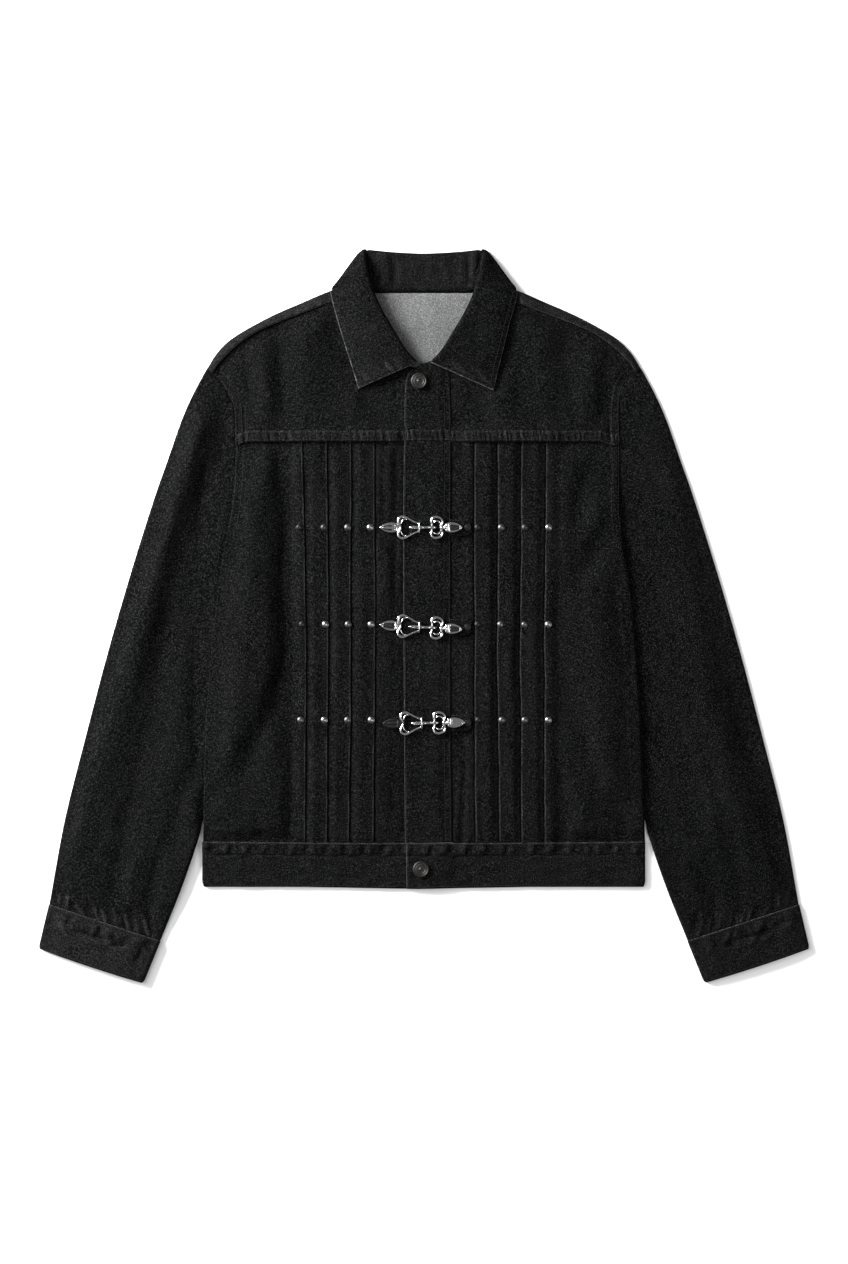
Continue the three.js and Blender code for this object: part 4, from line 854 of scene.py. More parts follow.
# ------------------------------------------------------------------ pleated fronts
for side, s in (("left", -1), ("right", 1)):
    p = Part()
    col = 1 if s < 0 else 2
    rows = np.unique(np.round(np.r_[np.linspace(YOKE_SEAM + 0.8, BAND_TOP + 0.2, 108), np.linspace(YOKE_SEAM + 0.8, 170, 10),
                                    np.linspace(-218, BAND_TOP + 0.2, 10), BAND_TOP + 1.2, BAND_TOP + 2.3, BAND_TOP + 3.4, BAND_TOP + 4.6], 4))[::-1]
    t = (YOKE_SEAM - rows) / (YOKE_SEAM - BAND_TOP)
    low = CLOTH / 2
    up, high = low + PLEAT_PITCH, low + 2 * PLEAT_PITCH
    rr = PLEAT_PITCH / 2
    edge_x = np.abs(by_y(BODY_EDGE, col, rows))
    A, Z, W, REL = [], [], [], []

    def put(a, z, w=0.0, rel=0.0):
        A.append(a + 0 * rows); Z.append(z + 0 * rows); W.append(w + 0 * rows); REL.append(rel + 0 * rows)
    folds = []
    for k, (f0, f1, f2) in enumerate(PLEATS[side]):
        f = np.interp(t, [0, 0.5, 1], [f0, f1, f2]) + 0.45 * ripple(rows, 130, 60 + 7 * k + s) + 0.16 * ripple(rows, 26, 90 + 5 * k + s)
        folds.append(f)
    first = folds[0] + PLEAT_DEPTH
    for q in dense(34, 1, 0, 90)[:-1]:
        put(edge_x * (1 - q) + (first + 6) * q, low)
    prev = None
    for k, f in enumerate(folds):
        start_a = first + 6 if k == 0 else folds[k - 1] - 2.3
        zg = low + 1.7
        if k:
            put(folds[k - 1] - 0.5, low)
            put(folds[k - 1] - 1.3, low + 0.8)
        end_a = f + 3.2
        z0 = low
        qs = np.r_[0, 0.05, 0.12, np.linspace(0.2, 1, 13)]
        soft = 0.7 + 0.35 * ripple(rows, 150, 200 + k + s)
        for q in qs:
            # each panel climbs off the layer below within its first half, then sinks slightly to its fold edge
            lift = smooth(q / 0.42) * (high - zg + soft) - soft * smooth((q - 0.42) / 0.58)
            put(start_a * (1 - q) + end_a * q, zg + lift if k else z0 + smooth(q) * (high - z0), 0.0)
        for dq, ww in ((1.9, 0.0), (1.1, 0.12), (0.55, 0.7)):
            put(f + dq, high, ww)
        for ang in np.linspace(90, -90, 7)[1:-1]:
            r_ = math.radians(ang)
            put(f + rr - rr * 1.25 * math.cos(r_), up + rr + rr * math.sin(r_), 0.75 if ang > 40 else 0.0)
        put(f + 1.6, up); put(f + 5.0, up); put(f + PLEAT_DEPTH - rr, up)
        for ang in (45, 0, -45):
            r_ = math.radians(ang)
            put(f + PLEAT_DEPTH - rr + rr * math.cos(r_), low + rr + rr * math.sin(r_))
        put(f + PLEAT_DEPTH - rr, low); put(f + 4, low)
    endc = np.full_like(rows, -14.0) if s < 0 else by_y(PLACKET, 2, rows) + 0.3
    put(folds[-1] - 0.5, low)
    put(folds[-1] - 1.3, low + 0.6)
    fl_ = folds[-1] - 2.3
    n_end = 26
    for q in np.linspace(0, 1, n_end):
        put(fl_ * (1 - q) + endc * q, low + 1.6 * (1 - smooth(q / 0.62)) + 0.5 * math.exp(-((q - 0.22) / 0.12) ** 2))
    A, Z, W = np.stack(A, 1), np.stack(Z, 1), np.stack(W, 1)
    X = s * A
    Y = np.repeat(rows[:, None], A.shape[1], 1)
    lift = body_lift(X, Y) * smooth((YOKE_SEAM - Y) / 22) * smooth((Y - BAND_TOP) / 12) * smooth((A - 28) / 20)
    # press the folds flat at the two seams
    press = 1 - 0.12 * np.exp(-np.abs(Y - YOKE_SEAM) / 8) - 0.12 * np.exp(-np.abs(Y - BAND_TOP) / 8)
    Zc = low + (Z - low) * press
    gather = (0.42 * ripple(X, 11, 301 + s) * np.exp(-(YOKE_SEAM - Y) / 16) + 0.5 * ripple(X + 0.1 * Y, 13, 305 + s) * np.exp(-(Y - BAND_TOP) / 15))
    soft_w = 0.42 * waves(X, Y, 70, 77 + s, squash=0.45) + 0.16 * waves(X, Y, 22, 79 + s, squash=0.35)
    Zc = Zc + gather * smooth((A - 26) / 12) + soft_w * smooth((A - 26) / 14)
    if s < 0:      # troughs beside the overlapping edge
        free_y = 1 - sum(np.exp(-((Y - c_[1]) / 13) ** 2) for c_ in CLASPS)
        swell = smooth((A - 21) / 4) * smooth((51 - A) / 4) * free_y * (0.35 + 0.65 * smooth((Y + 60) / 120)) * smooth((YOKE_SEAM - 2 - Y) / 16) * smooth((Y - BAND_TOP) / 16)
        Zc = Zc + swell * (1.7 - 2.3 * np.exp(-((X + 29.5 - 0.012 * (Y - 120)) / 4.4) ** 2) - 1.3 * np.exp(-((X + 42.5) / 3.0) ** 2) * smooth((Y - 60) / 60))
        Zc = np.where(A < 24, low, Zc)
    else:
        Zc = Zc + 0.6 * np.exp(-((X - 40) / 4.0) ** 2) * (0.4 + 0.6 * ripple(Y, 60, 9))
        yy = smooth((-130 - Y) / 60)
        Zc = Zc + yy * (0.9 * np.exp(-((X - 37 - (Y + 180) * 0.06) / 2.6) ** 2) - 0.9 * np.exp(-((X - 43 - (Y + 180) * 0.05) / 2.6) ** 2))
    da = np.abs(A - edge_x[:, None])
    al = smooth((Y - 100) / 20)
    Zc = Zc + 0.4 * (1 - smooth((da - 8.5) / 2.0)) * al - 0.3 * np.exp(-((da - 9.5) / 1.0) ** 2) * al
    side_pk = 0.25 * ripple(Y, 9, 55 + s) * np.exp(-da / 5)
    # under the yoke's edge the front tucks down
    Zc = Zc - 0.25 * smooth((Y - YOKE_SEAM + 1.0) / 1.5)
    Zc = Zc + 0.5 * smooth((Y - BAND_TOP - 3.2) / 2.0) * smooth((A - 26) / 12) * np.exp(-(Y - BAND_TOP) / 25)
    W = W * (0.62 + 0.3 * ripple(Y, 40, 400 + s)) * (0.5 + 0.5 * smooth((YOKE_SEAM - Y) / 15)) * (0.9 if s < 0 else 0.5)
    W = np.clip(W, 0, 1)
    W[:, :4] += (0.08 * np.clip(1 - da[:, :4] / 0.9, 0, 1))
    ends = smooth((YOKE_SEAM - Y) / 26) * smooth((Y - BAND_TOP) / 18)
    if s < 0:
        room = 5.6 * smooth((A - 136) / 30) * smooth((da - 1) / 34) * ends
    else:
        room = 4.6 * smooth((A - 108) / 58) * (0.42 + 0.58 * smooth((da - 2) / 44)) * smooth((da + 0.4) / 3.0) * ends
    base = np.maximum(FRONT_LIFT + lift + room, CLOTH + 0.15 + back_rise(X, Y))
    g = np.dstack([X, Y, ground(X, Y) + base + np.maximum(Zc + side_pk, CLOTH / 2)])
    n = normals(g)
    sg = 1.0 if np.mean(n[:, :20, 2]) > 0 else -1.0
    hi = shell(p, g, CLOTH, wear=W, mats=(0, 1), sign=sg, edge=(0, 0, 0.8, 0.5))
    cloth(f"front_{side}_cloth", p, [M_DENIM, M_BACK], [f"front_{side}"])
    stitches(thread("front"), along_edge(hi, "col0", 1.5, 0.0, 0.22))
    stitches(thread("front"), along_edge(hi, "col0", 8.6, 0.0, 0.22))

# ------------------------------------------------------------------ front band
p = Part()
edge = [[-19.9, -237.2], [-21.0, -90.0], [-21.8, 60.0], [-21.4, 140.0], [-20.6, 181.0], [-18.6, 186.0], [-17.4, 191.0], [-19.4, 197.0], [-20.4, 204.0], [-19.9, 235.7], [-18.6, 248.5],
        [-15.6, 256.0], [-9.5, 260.4]]
top = [[-9.5, 260.4], [-2.8, 265.2], [4.6, 267.6], [14.0, 271.5], [25.5, 278.0]]
right = [[29.4, -237.2], [27.8, -90.0], [27.8, 60.0], [28.2, 195.8], [27.6, 227.0], [25.5, 278.0]]
U = dense(48, 1, 1, 48)
V = np.unique(np.round(np.r_[dense(180, 1, 1, 500), np.linspace(0.93, 1, 24), np.linspace(0.795, 0.86, 34)], 6))
g2 = patch(poly([edge[0], right[0]]), curve(top), curve(edge), curve(right), U, V)
x, y = g2[..., 0], g2[..., 1]
zb = FRONT_LIFT + CLOTH + LAYER_GAP + BAND / 2
zc = zb - 1.4 * smooth((x - 14) / 12)
# ripples near the buttonholes side, lower half, and the faint slanting crease
rp = ripple(y + 0.3 * x, 13, 71)
zc = zc + 0.66 * rp * np.exp(-((x - 12) / 8) ** 2) * smooth((10 - y) / 60) + 0.10 * rp * smooth((x + 16) / 12) * smooth((20 - x) / 10)
zc = zc + 0.14 * waves(x, y, 30, 73)
zc = zc - 0.62 * np.exp(-(((x + 12) * 0.8 - (70 - y) * 0.6) / 1.6) ** 2) * smooth((x + 14) / 6) * smooth((18 - x) / 6)
zc = zc - 0.45 * np.exp(-((x + 21 - 3.0) / 0.8) ** 2) * 0.5 - 0.3 * np.exp(-((x - 22.0) / 1.1) ** 2)
pe = ripple(y, 7, 75)
zc = zc + 0.12 * pe * np.exp(-((x + 18.5) / 2.5) ** 2) + 0.12 * pe * np.exp(-((x - 24.5) / 2.5) ** 2)
hb = y - YOKE_SEAM                                     # the chest seam carries on across it
inb = smooth((hb - 0.2) / 1.6) * (1 - smooth((hb - BAND_H + 1.0) / 2.4))
pkb = ripple(x + 0.2 * hb, 4.6, 78) + 0.55 * ripple(x - 0.2 * hb, 2.8, 79)
zc = zc + 0.38 * inb + 0.5 * inb * pkb - 0.36 * np.exp(-((hb - BAND_H - 0.4) / 0.9) ** 2) - 0.5 * np.exp(-((hb + 0.4) / 0.8) ** 2)
zc = zc + 0.35 * ripple(x, 9, 80) * (np.exp(-np.abs(hb - BAND_H) / 8) + np.exp(-np.abs(hb) / 10)) * (1 - inb)
g = np.dstack([g2, zc])
BAND_LINES = [np.array([[np.interp(YOKE_SEAM + hh, y[:, i], g[:, i, 0]), YOKE_SEAM + hh, np.interp(YOKE_SEAM + hh, y[:, i], g[:, i, 2]) + BAND / 2] for i in range(2, g.shape[1] - 2)]) for hh in (1.5, BAND_H - 1.0)]
dx = np.abs(x - x[:, :1])
w = 0.8 * np.clip(1 - dx / 0.7, 0, 1) * (0.75 + 0.3 * ripple(y, 14, 76)) + 0.20 * np.clip(1 - np.abs(x - x[:, -1:]) / 1.0, 0, 1)
dt = np.abs(y - (g2[-1:, :, 1]))
w = np.maximum(w, 0.34 * np.clip(1 - dt / 0.8, 0, 1) * (x < 8))
w = np.maximum(w, 0.16 * np.clip(pkb - 0.1, 0, 1.3) * inb + (0.12 * np.exp(-((hb - 2.1) / 0.5) ** 2) + 0.17 * np.exp(-((hb - BAND_H + 0.8) / 0.5) ** 2)) * (0.6 + 0.5 * pkb))
hi = shell(p, g, BAND, wear=np.clip(w, 0, 1), mats=(0, 0), edge=(0.3, 1.3, 1.3, 0.8))
cloth("placket_cloth", p, [M_DENIM], ["placket"])
for ln_ in BAND_LINES:
    stitches(thread("front"), ln_, 3.0)
stitches(thread("front"), along_edge(hi, "col0", 2.2, 0.0, 0.995), 3.0)
stitches(thread("front"), along_edge(hi, "col1", 1.8, 0.0, 0.93), 3.0)
stitches(thread("front"), along_edge(hi, "col1", 7.4, 0.0, 0.93), 3.0)

# ------------------------------------------------------------------ waistband
p = Part()
t_, up_ = BAND / 2, BAND + LAYER_GAP
path = [[BAND_OVER, t_ + 2 * up_], [12, t_ + 2 * up_], [24, t_ + 1.6 * up_], [34, t_ + up_ + 0.2], [60, t_ + up_], [120, t_ + up_],
        [180, t_ + up_], [BAND_RIGHT - 3.2, t_ + up_]]
arcR = [[BAND_RIGHT - 1.5 + 1.5 * math.cos(a), t_ + up_ / 2 + up_ / 2 * math.sin(a)] for a in np.linspace(1.3, -1.3, 7)]
under = [[BAND_RIGHT - 3.2, t_], [180, t_], [60, t_], [-60, t_], [-180, t_], [BAND_LEFT + 3.2, t_]]
arcL = [[BAND_LEFT + 1.5 - 1.5 * math.cos(a), t_ + up_ / 2 + up_ / 2 * math.sin(a)] for a in np.linspace(-1.3, 1.3, 7)]
tail = [[BAND_LEFT + 3.2, t_ + up_], [-180, t_ + up_], [-120, t_ + up_], [-60, t_ + up_], [-20, t_ + up_], [BAND_UNDER, t_ + up_]]
ctrl = np.array(path + arcR + under + arcL + tail)
d = pts_len(ctrl)
# fine columns on the visible stretches, coarse ones below
top1 = np.linspace(0, pts_len(path)[-1], 160)
topL = d[-1] - np.linspace(pts_len(tail)[-1], 0, 160)
mid_a, mid_b = pts_len(path)[-1], d[-1] - pts_len(tail)[-1]
midd = np.r_[np.linspace(mid_a, mid_a + 12, 12)[1:], np.linspace(mid_a + 12, mid_b - 12, 40)[1:-1], np.linspace(mid_b - 12, mid_b, 12)[:-1]]
S = np.unique(np.round(np.r_[0.3, 0.8, 1.4, top1, midd, topL], 4))
px_, pz_ = np.interp(S, d, ctrl[:, 0]), np.interp(S, d, ctrl[:, 1])
V = np.unique(np.round(np.r_[np.linspace(0, 1, 26), np.linspace(0, 0.36, 26), 0.985, 0.995], 6))
front = (S < mid_a + 4) | (S > mid_b - 4)
Xb = np.repeat(px_[None], len(V), 0)
v = V[:, None]
grow = np.where(v > 0.85, -1.9 * ((v - 0.85) / 0.15) ** 2, 0)
Xg = Xb * (1 + grow / 235)
endy = BAND_BOTTOM_CF + (BAND_BOTTOM - BAND_BOTTOM_CF) * np.clip(np.abs(Xg + 8) / 120, 0, 1)
topy = BAND_TOP + 1.4 - 1.6 * (1 - np.clip(np.abs(Xg) / 235, 0, 1) ** 1.5)      # a little lower at the middle
Yg = topy * (1 - v) + endy * v
on = (front * np.ones_like(v)).astype(float)
dist = (topy - Yg)
zone = pleat_zone(np.abs(Xg))
Zg = np.repeat(pz_[None], len(V), 0) + 0.9 * smooth((np.abs(Xg) - 205) / 22) * (1 - v)
over = (S < pts_len(path)[3])[None] * 1.0
Zg = Zg + on * (1 - over) * (0.9 + 1.5 * zone) * np.exp(-(dist / 9.0) ** 2)
# lumps of the seam allowance below the seam, ending in a soft ridge about 12 mm down
allow = smooth(dist / 2.0) * (1 - smooth((dist - 11.0) / 3.0))
lump = np.clip(ripple(Xg + 0.15 * dist, 15, 81, 6) * 1.1, -1, 1)
bump_ = np.exp(-((dist - 7.0) / 4.2) ** 2)
Zg = Zg + on * (0.25 * allow + 1.4 * bump_ * lump - 1.0 * np.exp(-((dist - 13.6 - 0.8 * lump) / 1.5) ** 2) * (0.7 + 0.4 * ripple(Xg, 40, 83)))
Zg = Zg + on * (0.42 * waves(Xg, Yg, 30, 84, squash=3.0) * smooth((dist - 10) / 8) + 0.16 * waves(Xg, Yg, 26, 84) + 0.10 * ripple(Xg, 7, 85) * np.exp(-dist / 4)) - on * 0.22 * np.exp(-((dist - 2.0) / 0.7) ** 2)
g = np.dstack([Xg, Yg, Zg])
w = on * (0.95 * np.clip(1 - dist / 0.9, 0, 1) * (0.55 + 0.4 * ripple(Xg, 9, 86)) + 0.26 * bump_ * np.clip(lump - 0.1, 0, 1) * (0.5 + 0.5 * waves(Xg, Yg, 9, 87)))
w = np.maximum(w + 0.022 * on, 0.7 * np.clip(1 - (S[None] - 0) / 0.9, 0, 1))
n = normals(g)
sg = 1.0 if np.mean(n[:, 30:60, 2]) > 0 else -1.0
hi = shell(p, g, BAND, wear=np.clip(w, 0, 1), mats=(0, 0), sign=sg, edge=(1.1, 1.1, 1.1, 1.1))
cloth("waistband_cloth", p, [M_DENIM], ["waistband"])
k_a = int(np.searchsorted(S, mid_a - 2)); k_b = int(np.searchsorted(S, mid_b + 2))
for seg in (hi[:, :k_a], hi[:, k_b:int(np.searchsorted(S, d[-1] - 40))]):
    stitches(thread("band"), along_edge(seg, "row0", 2.0, 0.003, 0.997), 3.0)
    stitches(thread("band"), along_edge(seg, "row1", 2.4, 0.003, 0.997), 3.0)
stitches(thread("band"), along_edge(hi[:, :k_a], "col0", 2.2, 0.05, 0.95), 3.0)


# ------------------------------------------------------------------ flattened tubes
def tube(p, at, s_list, height, thickness, wearf=None, mats=(0, 1), n_top=54, zmod=None, r_edge=None):
    """A tube pressed flat. at(s, c) gives the plan point; height(x, y, s) the top's height."""
    m = len(s_list)
    C = np.unique(np.round(np.r_[np.linspace(0, 1, n_top)], 6))
    a0, a1 = at(s_list, np.zeros(m)), at(s_list, np.ones(m))
    width = np.linalg.norm(a1 - a0, axis=1)
    cols_t, cols_b = [], []
    re = 2.6 if r_edge is None else r_edge
    D = [0.0] + [re * (1 - math.cos(a)) for a in np.linspace(0.35, math.pi / 2, 5)]
    plan = []
    for d_ in D:
        plan.append(("o", d_))
    nC = np.linspace(0, 1, n_top)[1:-1]
    g_top = []
    g_bot = []
    H = []
    cs = []
    for kind, d_ in plan:
        cs.append(d_ / width)
    for c_ in nC:
        cs.append((re + c_ * (width - 2 * re)) / width)
    for kind, d_ in plan[::-1]:
        cs.append(1 - d_ / width)
    cs = np.stack(cs, 1)                              # m, n
    SS = np.repeat(s_list[:, None], cs.shape[1], 1)
    P = at(SS.reshape(-1), cs.reshape(-1)).reshape(m, -1, 2)
    x, y = P[..., 0], P[..., 1]
    dd = np.minimum(cs, 1 - cs) * width[:, None]
    rnd = np.sqrt(np.maximum(0, 1 - (1 - np.clip(dd / re, 0, 1)) ** 2))
    top = height(x, y, SS, dd, cs)
    hm = thickness / 2
    zmid = np.minimum(top, 3.2) / 2
    zt = zmid + (top - hm - zmid) * rnd
    zb = zmid + (hm + 0.3 * (1 + waves(x, y, 55, 137)) * smooth(dd / 20) - zmid) * rnd
    upper = np.dstack([x, y, zt])
    lower = np.dstack([x, y, zb])[:, ::-1][:, 1:-1]
    lower = np.concatenate([lower[:, :5], lower[:, 5:-5:4], lower[:, -5:]], 1)
    g = np.concatenate([upper, lower], 1)
    w = np.zeros(g.shape[:2])
    if wearf is not None:
        w[:, :upper.shape[1]] = wearf(x, y, SS, dd, cs)
    n = normals(g, True)
    k = upper.shape[1] // 2
    sg = 1.0 if np.mean(n[:, k - 4:k + 4, 2]) > 0 else -1.0
    hi = shell(p, g, thickness, wear=w, ring=True, mats=mats, sign=sg, edge=(0.8, 0.8, 0, 0))
    return hi[:, :upper.shape[1]]


for side, s in (("left", -1), ("right", 1)):
    col = 1 if s < 0 else 2
    gap = 0.03 * s
    yl = np.array([251.5, 241.0, 230.0, 220.0, 202.0, 184.4, 163.0, 143.3, 127.0, 110.8])
    arm_pts = [[s * 227.4, 260.9], [s * 222.0, 255.9]] + [[float(by_y(BODY_EDGE, col, y)) + gap - (0.8 * s if y > 245 else 0.35 * s if y > 235 else 0), y] for y in yl] + [[float(by_y(BODY_EDGE, col, 92)) + 2 * gap, 92]]
    arm = curve(arm_pts)
    outer = curve([arm_pts[0]] + [[s * h, y] for h, y in SLEEVE_OUTER[1:]])
    inner = curve([arm_pts[-1]] + [[s * h, y] for h, y in SLEEVE_INNER])
    cl = poly([[s * 393.2, -302.6], [s * 277.7, -340.4]])

    def at(u, c, arm=arm, outer=outer, inner=inner, cl=cl):
        O, I, A_, C_ = outer(u), inner(u), arm(c), cl(c)
        c00, c01, c10, c11 = arm(np.array([0.]))[0], arm(np.array([1.]))[0], cl(np.array([0.]))[0], cl(np.array([1.]))[0]
        u_, c_ = u[:, None], c[:, None]
        return O * (1 - c_) + I * c_ + A_ * (1 - u_) + C_ * u_ - ((c00 * (1 - c_) + c01 * c_) * (1 - u_) + (c10 * (1 - c_) + c11 * c_) * u_)
    rows_c = SLEEVE_L_CREASES if s < 0 else SLEEVE_R_CREASES

    def height(x, y, u, dd, c, s=s, col=col, rows_c=rows_c):
        clear = np.abs(x) - np.abs(by_y(BODY_EDGE, col, y)) - 1.5
        beside = np.where(y < BAND_TOP, 1.0, smooth((clear + 3) / 10) if s < 0 else smooth((clear - 20) / 50))
        outer_d = c * np.median(dd / np.minimum(c, 1 - c).clip(1e-6), axis=1, keepdims=True)
        if s < 0:        # outer roll, the ridge's far side, then a slow rise towards the body
            down = 1 - 0.75 * smooth((u - 0.45) / 0.35)
            form = 7.4 * smooth(outer_d / 22) - 7.8 * down * smooth((outer_d - 17) / 42) + 1.2 * smooth((outer_d - 60) / 30)
        else:
            form = 3.9 * smooth(outer_d / 46)
        bul = beside * form * smooth(u / 0.12) * (1 - 0.62 * smooth((u - 0.84) / 0.16))
        z = SLEEVE_FOLD + bul
        cr = (1.45 if s < 0 else 1.15) * creases(rows_c, x, y) + 0.55 * waves(x, y, 60, 130 + s) + 0.22 * waves(x, y, 24, 133 + s)
        free = beside * smooth(dd / 16) * smooth(u / 0.05)
        z = z + cr * free * (1 - smooth((u - 0.955) / 0.04))
        # gathers running up from the cuff
        e = (1 - u) * 640.0
        gt = ripple(c * 118 + 0.03 * e, 13, 140 + s)
        gt2 = np.clip(ripple(c * 118 - 0.10 * e, 17, 145 + s), 0, 2)
        z = z + (0.4 * gt * np.exp(-e / 20) + 0.3 * gt2 * np.exp(-((e - 6) / 13) ** 2)) * smooth(dd / 7)
        z = z + 0.25 * ripple(c * 150, 9, 150 + s) * np.exp(-u * 640 / 7) * smooth(dd / 6)
        z = z + (1.2 if s < 0 else 0.8) * creases(GATHERS, -np.abs(x) * (1 if s < 0 else 1.004), y, 0.25) * smooth(dd / 5)
        return np.maximum(z, SLEEVE_FOLD - 0.2)

    def wearf(x, y, u, dd, c, s=s):
        e = (1 - u) * 640.0
        gt2 = np.clip(creases(GATHERS, -np.abs(x) * (1 if s < 0 else 1.004), y, 0.25), 0, 1)
        # pale tops of the gathers: partly rubbed pale, partly painted highlight, stronger on the lit left sleeve
        return np.clip((0.30 if s < 0 else 0.14) * gt2 + 0.18 * np.clip(1 - dd / 1.6, 0, 1) * 0.5, 0, 1)
    su = np.unique(np.round(np.r_[np.linspace(0, 1, 108), np.linspace(0, 0.03, 8), np.linspace(0.945, 1, 30)], 6))
    p = Part()
    mats = [M_SLEEVE_L if s < 0 else M_SLEEVE_R, M_BACK]
    hi = tube(p, at, su, height, CLOTH, wearf, n_top=96)
    cloth(f"sleeve_{side}_cloth", p, mats, [f"sleeve_{side}"])

    p = Part()
    to, ti, lo_, li = (np.array([s * q[0], q[1]]) for q in (CUFF["top_outer"], CUFF["top_inner"], CUFF["low_outer"], CUFF["low_inner"]))
    to = to + (to - lo_) / np.linalg.norm(to - lo_) * 1.0
    ti = ti + (ti - li) / np.linalg.norm(ti - li) * 1.0

    def at_c(u, c, to=to, ti=ti, lo_=lo_, li=li):
        u_, c_ = u[:, None], c[:, None]
        inset = 1.6 * np.clip((u_ - 0.9) / 0.1, 0, 1) ** 2 * (np.exp(-c_ * 40) - np.exp(-(1 - c_) * 40))
        A_ = to * (1 - u_) + lo_ * u_
        B_ = ti * (1 - u_) + li * u_
        bow = 0.9 * np.sin(np.pi * c_) * u_ * (lo_ - to) / np.linalg.norm(lo_ - to)
        return A_ * (1 - c_) + B_ * c_ + inset * (B_ - A_) / np.linalg.norm(B_ - A_, axis=1, keepdims=True) + bow

    def height_c(x, y, u, dd, c, s=s):
        e = u * 45.0
        a = c * 118
        z = 2 * BAND + 1.1 + (2.4 if s < 0 else 1.6) * smooth(dd / 26)
        z = z + 0.32 * waves(a, e, 30, 160 + s) * smooth(dd / 6)
        z = z + 0.6 * np.clip(ripple(a - 0.9 * e, 26, 163 + s), -1, 1) * np.exp(-((e - 15) / 9) ** 2) * smooth(dd / 8)
        z = z + 0.9 * np.clip(ripple(a + 0.3 * e, 14, 164 + s, 6) * 1.1, -1, 1) * np.exp(-((e - 7) / 4.2) ** 2) * smooth(dd / 6)
        z = z + (1.7 if s < 0 else 1.1) * creases(CUFF_CREASES, -np.abs(x) * (1 if s < 0 else 1.006), y, 0.3) * smooth(dd / 5)
        z = z + 3.0 * c * (1 if s < 0 else 0)
        z = z - 0.55 * np.exp(-((e - 13.5) / 1.5) ** 2) * smooth(dd / 5)
        z = z - 0.25 * np.exp(-((e - 2.0) / 0.8) ** 2) + 0.14 * ripple(a, 8, 165 + s) * np.exp(-e / 4)
        return z

    def wear_c(x, y, u, dd, c, s=s):
        e, a = u * 45.0, c * 118
        top_e = 0.95 * np.clip(1 - e / 0.9, 0, 1) * (0.6 + 0.4 * ripple(a, 5, 168 + s))
        cr = 0.10 * np.clip(ripple(a - 0.9 * e, 26, 163 + s) - 0.3, 0, 1) * np.exp(-((e - 15) / 9) ** 2)
        low = 0.25 * np.clip(1 - (45 - e) / 1.0, 0, 1)
        # an even pale tone over the cuff, 0.075 on the left and 0.03 on the right: the left's extra is painted light
        # for the lit side
        return np.clip(top_e + cr + low + (0.075 if s < 0 else 0.03), 0, 1)
    hi = tube(p, at_c, np.unique(np.round(np.r_[np.linspace(0, 1, 40), 0.02, 0.04, 0.07, 0.98, 0.99], 5)), height_c, BAND, wear_c, mats=(0, 0), n_top=96, r_edge=2.4)
    cloth(f"cuff_{side}_cloth", p, [mats[0]], [f"cuff_{side}"])
    stitches(thread("sleeve"), along_edge(hi, "row0", 2.0, 0.02, 0.98), 3.0)
    stitches(thread("sleeve"), along_edge(hi, "row1", 2.6, 0.02, 0.98), 3.0)

# ------------------------------------------------------------------ collar
net = []
for seam, roll, fold, edge in COLLAR:
    sx, sy, sz = seam
    rx, ry, zl, zh = roll
    ex, ey, ez = edge
    goes = np.array([sx - rx, sy - ry]); goes /= np.linalg.norm(goes)
    span = math.hypot(fold[0] - rx, fold[1] - ry) if fold else 99.0
    under = zh < zl
    zin, zout = (5.2 if under else zl - 1.6), zh
    out = np.array(fold if fold else [ex, ey])
    leaf = out - [rx, ry]; leaf = leaf / np.linalg.norm(leaf)
    st = 2.2
    pts = [[sx, sy, sz], [(sx + rx) / 2, (sy + ry) / 2, sz * 0.6 + min(zl, zh) * 0.4 if not under else (sz + 5.0) / 2],
           [rx + goes[0] * st, ry + goes[1] * st, zin], [rx, ry, (zin + zout) / 2]]
    so = min(st, 0.3 * span)
    near = [rx + leaf[0] * so, ry + leaf[1] * so, zout]
    pts.append(near)
    if fold:
        fx_, fy_ = fold
        bk = np.array([ex - fx_, ey - fy_]); bk /= np.linalg.norm(bk)
        zt = min(max(7.6, ez), zout + 2.4); tip = (zt + ez) / 2
        pts += [[rx + (fx_ - rx) * .55, ry + (fy_ - ry) * .55, zout + (zt - zout) * .6], [fx_ - leaf[0] * so, fy_ - leaf[1] * so, zt - .2],
                [fx_, fy_, tip], [fx_ + bk[0] * st, fy_ + bk[1] * st, min(tip, ez + .1)], [ex, ey, ez]]
    else:
        for k in (.3, .5, .7, .85, 1):
            pts.append([near[0] + (ex - near[0]) * k, near[1] + (ey - near[1]) * k, zout + (ez - zout) * k])
    net.append(pts)
net = np.array(net)
left = net * np.array([-1, 1, 1])
right = net[::-1][1:].copy()
# the right leaf's tip lies a little further out and lower
for j in range(len(right)):
    q = max(0.0, 1 - (len(right) - 1 - j) / 3.0)
    for i in range(5, 10):
        right[j, i, 0] += 4.2 * q * (i - 4) / 5
        right[j, i, 1] -= 2.0 * q * (i - 4) / 5
full = np.concatenate([left, right])
nsec = len(full)
tj = np.unique(np.round(np.r_[np.linspace(0, nsec - 1, 215), 0.02, 0.05, 0.09, nsec - 1.02, nsec - 1.05, nsec - 1.09], 5))
ti_ = np.unique(np.round(np.r_[np.linspace(0, 2, 9), np.linspace(2, 4, 13), np.linspace(4, 8.6, 34), np.linspace(8.6, 9, 10)], 5))
a = catmull(full, tj)                                  # rows refined
lin = np.stack([np.stack([np.interp(tj, np.arange(nsec), full[:, i, k]) for k in range(3)], -1) for i in range(10)], 1)
mid_j = np.minimum(tj, nsec - 1 - tj)
keep = (smooth((mid_j - 4.3) / 0.8) * (1 - smooth((mid_j - 12.5) / 0.8)))[:, None, None] * np.r_[0, 0, 0, .5, .8, 1, 1, 1, 1, 1][None, :, None]
a = a * (1 - keep) + lin * keep
a = a.transpose(1, 0, 2)
a = catmull(a, ti_).transpose(1, 0, 2)
p = Part()
x, y, z = a[..., 0], a[..., 1], a[..., 2]
iu = np.repeat(ti_[None], len(tj), 0)
jv = np.repeat(tj[:, None], len(ti_), 1)
